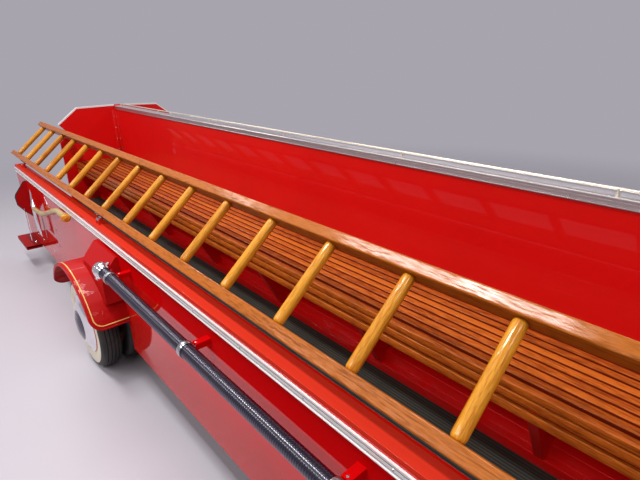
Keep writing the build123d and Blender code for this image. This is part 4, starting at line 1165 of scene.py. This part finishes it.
@dataclass
class Cushion:
    """One sewn cushion of the driver's bench, puffed up by cloth simulation.

    Attributes:
        name: Its name.
        low: Lowest corner of the space it fills.
        high: Highest corner.
        face: The axis its crowned face looks along, 0 or 2.
        slack: How far inside its space it starts.
        voxel: Size of the remesh.
        channel: Distance between sewn channels.
        seam: Half the width of a channel's seam.
        corner: How rounded its corners are.
        frames: How many frames the cloth is given to settle.
    """

    name: str
    low: Point
    high: Point
    face: int
    slack: float = 0.011
    voxel: float = 0.0072
    channel: float = 0.0988
    seam: float = 0.0075
    corner: float = 0.022
    frames: int = 20

    def shell(self) -> bpy.types.Object:
        """The unpuffed shape.

        Returns:
            The piece.
        """
        slack = Vector((self.slack,) * 3)
        piece = Shape().bar(tuple(Vector(self.low) + slack), tuple(Vector(self.high) - slack), self.corner).place(
            self.name, SEAT, sharp=180)
        remesh = piece.modifiers.new("remesh", "REMESH")
        remesh.mode = "VOXEL"
        remesh.voxel_size = self.voxel
        remesh.use_smooth_shade = True
        self.settle(piece)
        return piece

    def settle(self, piece: bpy.types.Object) -> None:
        """Turn a piece's modifiers into its mesh.

        Args:
            piece: The piece.
        """
        graph = bpy.context.evaluated_depsgraph_get()
        graph.update()
        made = bpy.data.meshes.new_from_object(piece.evaluated_get(graph))
        piece.modifiers.clear()
        piece.data = made

    def puff(self, piece: bpy.types.Object) -> None:
        """Inflate the cover and keep each point near where it was sewn.

        Args:
            piece: The piece.
        """
        cloth = piece.modifiers.new("cloth", "CLOTH")
        cloth.settings.quality = 4
        cloth.settings.use_pressure = True
        cloth.settings.uniform_pressure_force = 4.0
        cloth.settings.effector_weights.gravity = 0.0
        cloth.point_cache.frame_start = 1
        cloth.point_cache.frame_end = self.frames
        scene = bpy.context.scene
        for step in range(1, self.frames + 1):
            scene.frame_set(step)
        graph = bpy.context.evaluated_depsgraph_get()
        swollen = [vert.co.copy() for vert in piece.evaluated_get(graph).data.vertices]
        piece.modifiers.clear()
        scene.frame_set(1)
        for vert, end in zip(piece.data.vertices, swollen):
            move = end - vert.co
            if move.length > self.slack:
                move *= self.slack / move.length
            vert.co = vert.co + move

    def sew(self, piece: bpy.types.Object) -> None:
        """Pull the crowned face in along its channels and hold the cover inside its space.

        Args:
            piece: The piece.
        """
        middle = [(a + b) / 2 for a, b in zip(self.low, self.high)]
        half = [(b - a) / 2 for a, b in zip(self.low, self.high)]
        other = 2 - self.face
        for vert in piece.data.vertices:
            place = vert.co
            if (place[self.face] - middle[self.face]) / half[self.face] > 0.3:
                inside = max(0.0, 1.0 - (abs(place[other] - middle[other]) / half[other]) ** 6)
                across = (place.y / self.channel + 0.5) % 1.0 - 0.5
                seam = math.exp(-(across * self.channel / self.seam) ** 2)
                place[self.face] -= inside * (0.010 * seam - 0.004 * (1.0 - (2 * across) ** 2))
            for axis in range(3):
                place[axis] = min(max(place[axis], self.low[axis] + 0.0005), self.high[axis] - 0.0005)

    def piping(self) -> None:
        """A welt round the crowned face."""
        a, b = [axis for axis in range(3) if axis != self.face]
        up = Vector([float(axis == self.face) for axis in range(3)])
        inset = 0.013 + self.corner
        path = []
        for corner, (right, top) in enumerate(((1, 1), (0, 1), (0, 0), (1, 0))):
            for turn in (math.pi / 2 * (corner + step / 5) for step in range(6)):
                point = Vector()
                point[self.face] = self.high[self.face] - 0.017
                for axis, far, reach in ((a, right, math.cos(turn)), (b, top, math.sin(turn))):
                    start = self.high[axis] - inset if far else self.low[axis] + inset
                    point[axis] = start + self.corner * reach
                path.append(point)
        rings = []
        for before, point, after in zip(path[-1:] + path, path, path[1:] + path[:1]):
            rings.append(circle(point, up, (after - before).normalized().cross(up), 0.0045, 8))
        Shape().strip(rings, looped=True).place(f"{self.name}_piping", PIPING, sharp=180)

    def build(self, node: str = "") -> None:
        """Make the cushion.

        Args:
            node: The CAD node it stands for, or none.
        """
        piece = self.shell()
        self.puff(piece)
        smooth = piece.modifiers.new("smooth", "SUBSURF")
        smooth.levels = smooth.render_levels = 1
        self.settle(piece)
        self.sew(piece)
        for polygon in piece.data.polygons:
            polygon.use_smooth = True
        if node:
            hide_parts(node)
        self.piping()


@dataclass
class Cab:
    """Seat cushions, dials, pedals, levers and a floor mat."""

    dash_x: float = 2.290
    dials: tuple[Pair, ...] = ((0.210, 0.040), (0.118, 0.026), (0.302, 0.026))
    dial_z: float = 0.985
    floor_z: float = 0.540
    panel_y: float = 0.760
    door_x: Pair = (1.888, 2.312)
    door_z: Pair = (0.345, 0.770)
    wheel: Point = (2.170, 0.210, 1.060)
    tilt: float = 36.0
    split_x: float = 1.685

    def seat(self) -> None:
        """Both cushions."""
        low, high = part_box("cab_seat")
        Cushion("seat_cushion", (self.split_x + 0.005, low[1], low[2]), (high[0], high[1], 0.850), 2).build("cab_seat")
        Cushion("seat_back", tuple(low), (self.split_x, high[1], high[2]), 0).build()

    def dashboard(self) -> None:
        """Round dials, knobs and a lid on the dashboard."""
        rims, faces, marks, knobs, lid = (Shape() for _ in range(5))
        back = (-1, 0, 0)
        for y, radius in self.dials:
            place = (self.dash_x, y, self.dial_z)
            rims.lathe([(0.0, radius + 0.004), (0.005, radius + 0.004), (0.007, radius + 0.001),
                        (0.006, radius - 0.002), (0.001, radius - 0.003)], place, back, 40)
            faces.lathe([(0.0012, 0.0), (0.0012, radius - 0.002)], place, back, 40)
            for turn in range(-120, 121, 30):
                marks.bar((-0.0004, -0.0009, radius * 0.70), (0.0004, 0.0009, radius * 0.88), 0.0,
                          moved((self.dash_x - 0.0018, y, self.dial_z), turn, "X"))
            marks.bar((-0.0005, -0.0012, -0.004), (0.0005, 0.0012, radius * 0.74), 0.0,
                      moved((self.dash_x - 0.0026, y, self.dial_z), -70, "X"))
        for index in range(5):
            knobs.lathe([(0.0, 0.006), (0.012, 0.006), (0.013, 0.0105), (0.020, 0.0115), (0.024, 0.009), (0.025, 0.0)],
                        (self.dash_x, 0.035 - 0.052 * index, 0.965), back, 20)
        knobs.lathe([(0.0, 0.005), (0.010, 0.005), (0.012, 0.009), (0.016, 0.008), (0.018, 0.0)],
                    (self.dash_x - 0.004, -0.395, 1.008), back, 16)
        lid.bar((self.dash_x - 0.004, -0.520, 0.945), (self.dash_x + 0.001, -0.270, 1.025), 0.003)
        for name, shape, finish in (("dial_rims", rims, CHROME), ("dial_faces", faces, DIAL),
                                    ("dial_marks", marks, BLACK_PLASTIC), ("dash_knobs", knobs, CHROME),
                                    ("dash_lid", lid, RED)):
            shape.place(name, finish)

    def controls(self) -> None:
        """Pedals, two levers, a floor mat and the steering wheel's cap."""
        pads, stems, knobs, floor = Shape(), Shape(), Shape(), self.floor_z
        for y, half in ((0.300, 0.034), (0.190, 0.034), (0.095, 0.024)):
            pads.bar((-0.005, -half, -0.036), (0.005, half, 0.036), 0.004, moved((2.215, y, 0.650), -38, "Y"))
            stems.tube([(2.219, y, 0.647), (2.262, y, 0.606), (2.295, y, floor)], 0.007)
        stems.tube([(2.060, 0.0, floor), (2.058, 0.0, 0.600), (2.020, 0.004, 0.720), (1.985, 0.008, 0.815)], 0.0075, 12)
        stems.tube([(2.010, -0.085, floor), (2.000, -0.085, 0.620), (1.960, -0.085, 0.742)], 0.008, 12)
        knobs.lathe([(-0.018, 0.009), (-0.014, 0.015), (0.0, 0.0195), (0.013, 0.015), (0.019, 0.0)],
                    (1.982, 0.0084, 0.822), (-0.35, 0.04, 0.93), 24)
        knobs.lathe([(-0.055, 0.0), (-0.055, 0.0125), (0.0, 0.0135), (0.012, 0.009), (0.014, 0.0)],
                    (1.957, -0.085, 0.750), (-0.32, 0.0, 0.95), 16)
        for x, y in ((2.060, 0.0), (2.010, -0.085)):
            knobs.lathe([(0.0, 0.042), (0.006, 0.040), (0.020, 0.018), (0.034, 0.012), (0.036, 0.0)],
                        (x, y, floor + 0.002), Z, 28)
        Shape().bar((2.005, -0.700, floor - 0.0005), (2.335, 0.700, floor + 0.004)).place("cab_mat", MAT)
        pads.place("pedal_pads", BLACK_PLASTIC)
        stems.place("lever_stems", STEEL)
        knobs.place("lever_knobs", BLACK_PLASTIC)
        axis = Vector((-math.cos(math.radians(self.tilt)), 0.0, math.sin(math.radians(self.tilt))))
        Shape().lathe([(-0.004, 0.026), (0.003, 0.026), (0.0055, 0.022), (0.008, 0.012), (0.0085, 0.0)],
                      tuple(Vector(self.wheel) + axis * 0.006), tuple(axis), 36).place(
            "horn_button", CHROME, "steering_wheel")

    def doors(self) -> None:
        """Door outlines, hinges, pulls and sill mouldings on the cab's sides."""
        lines, metal, sills = Shape(), Shape(), Shape()
        rear, front = self.door_x
        low, high = self.door_z
        face = self.panel_y
        for start, end in (((rear, low), (rear, high)), ((front, low), (front, high)), ((rear, low), (front, low))):
            lines.tube([(x, face, z) for x, z in (start, end)], 0.0022, 6)
        for z in (0.430, 0.640):
            metal.lathe([(-0.030, 0.0), (-0.030, 0.0055), (0.030, 0.0055), (0.030, 0.0)],
                        (front, face + 0.004, z), Z, 14)
        metal.tube([(rear + 0.042, face - 0.001, 0.560), (rear + 0.042, face + 0.016, 0.562),
                    (rear + 0.048, face + 0.020, 0.562), (rear + 0.122, face + 0.020, 0.562),
                    (rear + 0.134, face + 0.014, 0.562)], 0.006, 12)
        sills.tube([(x, face - 0.0075, 0.8015) for x in (rear - 0.058, rear + 0.010)], 0.0065, 10, 0.4, Z)
        lines.both().place("door_lines", DARK_RED)
        metal.both().place("door_furniture", CHROME)
        sills.both().place("sill_mouldings", TRIM)

    def build(self) -> None:
        """Make them all."""
        self.seat()
        self.dashboard()
        self.controls()
        self.doors()


@dataclass
class Nose:
    """Louvres, latches and a centre strip on the hood, lamp lenses, and edges on the front fenders."""

    rear_x: float = 2.580
    front_x: float = 3.360
    rear_half: float = 0.480
    front_half: float = 0.320
    rear_top: float = 1.050
    front_top: float = 0.950
    axle_x: float = 2.750
    fender_z: float = 0.280
    fender_radius: float = 0.375
    fender_y: float = 0.800
    lamp: Point = (3.340, 0.440, 0.800)
    lamp_radius: float = 0.098
    tail: Point = (-3.155, 0.355, 0.470)

    def along(self, x: float, rear: float, front: float) -> float:
        """What runs evenly from one value at the hood's rear to another at its front."""
        return rear + (x - self.rear_x) / (self.front_x - self.rear_x) * (front - rear)

    def hood(self) -> None:
        """Everything on the hood."""
        louvres, latches = Shape(), Shape()
        Shape().tube([(x, 0.0, self.along(x, self.rear_top, self.front_top) + 0.0005)
                      for x in (self.rear_x + 0.004, self.front_x - 0.004)], 0.008, 12, 0.55, Z).place(
            "hood_strip", CHROME)
        for x in (2.76 + 0.036 * index for index in range(11)):
            out = self.along(x, self.rear_half, self.front_half)
            louvres.strip([[(x - 0.011, out + 0.0022, up), (x - 0.002, out + 0.0005 + 0.0085 * bulge, up),
                            (x + 0.006, out + 0.0003 + 0.0065 * bulge, up), (x + 0.012, out - 0.0025, up)]
                           for up, bulge in ((0.694, 0.0), (0.700, 0.55), (0.712, 1.0), (0.776, 1.0), (0.788, 0.55),
                                             (0.794, 0.0))])
        turn = math.degrees(math.atan2(self.rear_half - self.front_half, self.front_x - self.rear_x))
        for x in (2.68, 3.24):
            spot = moved((x, self.along(x, self.rear_half, self.front_half), 0.690), -turn, "Z")
            latches.bar((-0.011, -0.003, -0.030), (0.011, 0.006, 0.030), 0.0025, spot)
            latches.bar((-0.005, 0.004, -0.018), (0.005, 0.011, 0.024), 0.002, spot)
        louvres.both().place("hood_louvres", RED, sharp=30)
        latches.both().place("hood_latches", CHROME)
        Shape().bar((3.361, -0.283, 0.628), (3.3655, 0.283, 0.912), 0.0).place("radiator_core", CORE)

    def lamps(self) -> None:
        """Reflectors, lenses and rims of the headlamps, and rims of the tail lamps."""
        bowls, lenses, rims = Shape(), Shape(), Shape()
        x, y, z = self.lamp
        r = self.lamp_radius
        bowls.lathe([(0.0006, 0.0), (0.0008, 0.020), (0.0012, 0.060), (0.0016, r - 0.008)], self.lamp, X)
        bowls.dome((x + 0.0006, y, z), X, 0.016, 0.010, 24)
        lenses.lathe([(0.0022, r - 0.006), (0.0075, r - 0.012), (0.0125, r * 0.62), (0.0155, r * 0.3), (0.0165, 0.0)],
                     self.lamp, X, 56)
        rims.lathe([(-0.014, r + 0.0065), (-0.004, r + 0.0075), (0.004, r + 0.004), (0.0065, r - 0.004),
                    (0.0045, r - 0.009), (0.0005, r - 0.009)], self.lamp, X, 56)
        rims.lathe([(-0.002, 0.0452), (-0.002, 0.0482), (0.010, 0.0488), (0.014, 0.0470), (0.014, 0.0452)],
                   self.tail, (-1, 0, 0), 40)
        bowls.both().place("lamp_reflectors", CHROME)
        lenses.both().place("lamp_lenses", LAMP_GLASS, sharp=60)
        rims.both().place("lamp_rims", CHROME)

    def edges(self) -> None:
        """Rolled edges and lining on the front fenders."""
        low = math.asin(0.02 / self.fender_radius)
        angles = [low + (math.pi - 2 * low) * step / 48 for step in range(49)]
        bead, lining = ([(self.axle_x + radius * math.cos(angle), y, self.fender_z + radius * math.sin(angle))
                         for angle in angles] for radius, y in ((self.fender_radius - 0.003, self.fender_y),
                                                                (self.fender_radius + 0.0004, self.fender_y - 0.022)))
        Shape().tube(bead, 0.005).pair("front_fender_bead", RED)
        Shape().tube(lining, 0.0028, 8, 0.3, Z).pair("front_fender_lining", GOLD_LINE)

    def build(self) -> None:
        """Make them all."""
        self.hood()
        self.lamps()
        self.edges()


@dataclass
class Studio:
    """Floor, lights, background and the photograph's camera."""

    stand: Point = (1.10, -1.38, 1.62)
    heading: float = 137.867
    elevation: float = -21.556
    roll: float = -0.1006
    focal: float = 25.3125
    reach: float = 60.0
    floor_colour: Colour = rgb(196, 190, 198)
    surround: Colour = rgb(168, 164, 174)
    sky: Colour = rgb(250, 248, 250)
    lamps: tuple[tuple[str, Point, Point, Pair, float], ...] = (
        ("strip_near", (-1.1, -1.56, 4.0), (-1.1, -1.56, 0.0), (2.6, 0.3), 84.0),
        ("strip_hot", (-0.62, -1.6, 3.98), (-0.62, -1.6, 0.0), (0.3, 0.3), 17.0),
        ("strip_side", (-1.0, -4.4, 4.3), (-0.8, -0.7, 0.6), (7.0, 0.8), 130.0),
        ("strip_rear", (-5.2, -0.6, 4.4), (-3.8, -0.6, 0.0), (2.6, 0.8), 70.0),
        ("strip_front", (3.8, -0.4, 4.4), (2.8, 0.0, 0.0), (3.0, 0.8), 80.0),
        ("strip_far", (-1.2, 3.6, 4.4), (-0.8, 0.0, 0.5), (6.0, 0.8), 90.0))

    def stand_in(self, name: str, data: bpy.types.ID, matrix: Matrix) -> bpy.types.Object:
        """Put a camera, lamp or floor in the scene.

        Args:
            name: Its name.
            data: Its data.
            matrix: Where it stands.

        Returns:
            The object.
        """
        made = bpy.data.objects.new(name, data)
        bpy.context.scene.collection.objects.link(made)
        made.matrix_world = matrix
        return made

    def camera(self) -> None:
        """Set the camera where the photograph was taken."""
        data = bpy.data.cameras.new("view")
        data.sensor_width = 36.0
        data.lens = self.focal
        data.clip_start = 0.02
        origin = (0.0, 0.0, 0.0)
        bpy.context.scene.camera = self.stand_in(
            "view", data, moved(self.stand, self.heading - 90, "Z") @ moved(origin, 90 + self.elevation, "X")
            @ moved(origin, self.roll, "Z"))

    def light(self) -> None:
        """Hang the soft lamps."""
        for name, place, aim, size, power in self.lamps:
            data = bpy.data.lights.new(name, "AREA")
            data.shape = "RECTANGLE"
            data.size, data.size_y = size
            data.energy = power
            turn = (Vector(aim) - Vector(place)).to_track_quat("-Z", "Y").to_matrix().to_4x4()
            self.stand_in(name, data, Matrix.Translation(place) @ turn)

    def background(self) -> None:
        """A pale surround that the camera, gloss and glass see, and a dimmer one for the rest."""
        world = bpy.data.worlds.new("surround")
        mix = Recipe(world)
        light = mix.read("ShaderNodeBackground", {"Color": self.sky, "Strength": 0.22})
        seen = mix.read("ShaderNodeBackground", {"Color": self.surround})
        mix.node("ShaderNodeOutputWorld", {0: mix.read("ShaderNodeMixShader", {0: mix.seen(), 1: light, 2: seen})})
        bpy.context.scene.world = world

    def floor(self) -> None:
        """A plain pale floor that fades into the surround."""
        material = bpy.data.materials.new("studio_floor")
        mix = Recipe(material)
        place = mix.place()
        x, y, _ = mix.split(place)
        far = ((x ** 2.0 + y ** 2.0) ** 0.5).between(3.8, 8.5)
        cloud = mix.noise(place, 0.6, 4.0).between(0.3, 0.7) * 0.25
        near = mix.surface(Base_Color=mix.blend(cloud, self.floor_colour, darker(self.floor_colour, 0.9)),
                           Roughness=0.42, Specular_IOR_Level=0.4)
        glow = mix.read("ShaderNodeEmission", {"Color": self.surround, "Strength": 1.0})
        mix.node("ShaderNodeOutputMaterial",
                 {0: mix.read("ShaderNodeMixShader", {0: far * mix.seen(), 1: near, 2: glow})})
        data = bpy.data.meshes.new("studio_floor")
        corners = [(self.reach * a, self.reach * b, 0) for a, b in ((-1, -1), (1, -1), (1, 1), (-1, 1))]
        data.from_pydata(corners, [], [(0, 1, 2, 3)])
        data.materials.append(material)
        self.stand_in("studio_floor", data, Matrix.Identity(4))

    def build(self) -> None:
        """Set the whole studio."""
        self.camera()
        self.background()
        self.floor()
        self.light()
        bpy.context.scene.view_settings.view_transform = "Standard"


def dress_frame() -> None:
    """Give every CAD node that stays in view its finish."""
    for finish, soften, nodes in (
            (PANEL_RED, 0.0022, "side_panel_left side_panel_right"),
            (WALL_RED, 0.0022, "central_wall rear_bulkhead front_bulkhead bench_frames deck"),
            (FENDER_RED, 0.0015, "rear_fenders"),
            (RED, 0.0015, "front_fenders cab_tub cowl nose_shell"),
            (GUARD_RED, 0.0015, "rear_steps"),
            (FRAME_BLACK, 0.0, "chassis_frame front_axle rear_axle leaf_springs fuel_tank tow_plate"
                               " steering_knuckle_left steering_knuckle_right"),
            (ENGINE_GREY, 0.004, "engine_block"),
            (MAT, 0.0, "floor_mats"),
            (TRIM, 0.0, "trim_strips"),
            (ROD_METAL, 0.0, "signal_rod"),
            (SLAT_WOOD, 0.0, "bench_slats"),
            (STRINGER_WOOD, 0.0, "ladder_stringers_left ladder_stringers_right"),
            (RUNG_WOOD, 0.0, "ladder_rungs_left ladder_rungs_right"),
            (STEEL, 0.0, "ladder_hinges_left ladder_hinges_right"),
            (HANDLE_WOOD, 0.0, "fire_axes"),
            (CHROME, 0.0, "front_bumper grille windscreen_frame headlamps bell_stand hose_fittings"),
            (RED, 0.0, "rear_wheels_left rear_wheels_right front_wheel_left front_wheel_right"),
            (HOSE, 0.0, "suction_hoses"),
            (REAR_TYRE, 0.0, "rear_tyres_left rear_tyres_right"),
            (FRONT_TYRE, 0.0, "front_tyre_left front_tyre_right"),
            (SEAT, 0.0, "cab_seat"),
            (GLASS, 0.0, "windscreen_glass"),
            (RED_LENS, 0.0, "tail_lamps"),
            (BRONZE, 0.0, "bell"),
            (BLACK_PLASTIC, 0.0, "steering_wheel")):
        dress(finish, nodes, soften)


def main() -> None:
    """Build the studio, then the engine's sub-assemblies in order."""
    logging.basicConfig(level=logging.INFO, format="%(message)s")
    Studio().build()
    dress_frame()
    for assembly in (Tyres(), SuctionHoses(), RearFenders(), Trims(), Benches(), Ladders(), Axes(), BodyDetails(),
                     Cab(), Nose()):
        assembly.build()
        log.info("built %s", type(assembly).__name__)


if __name__ == "__main__":
    main()
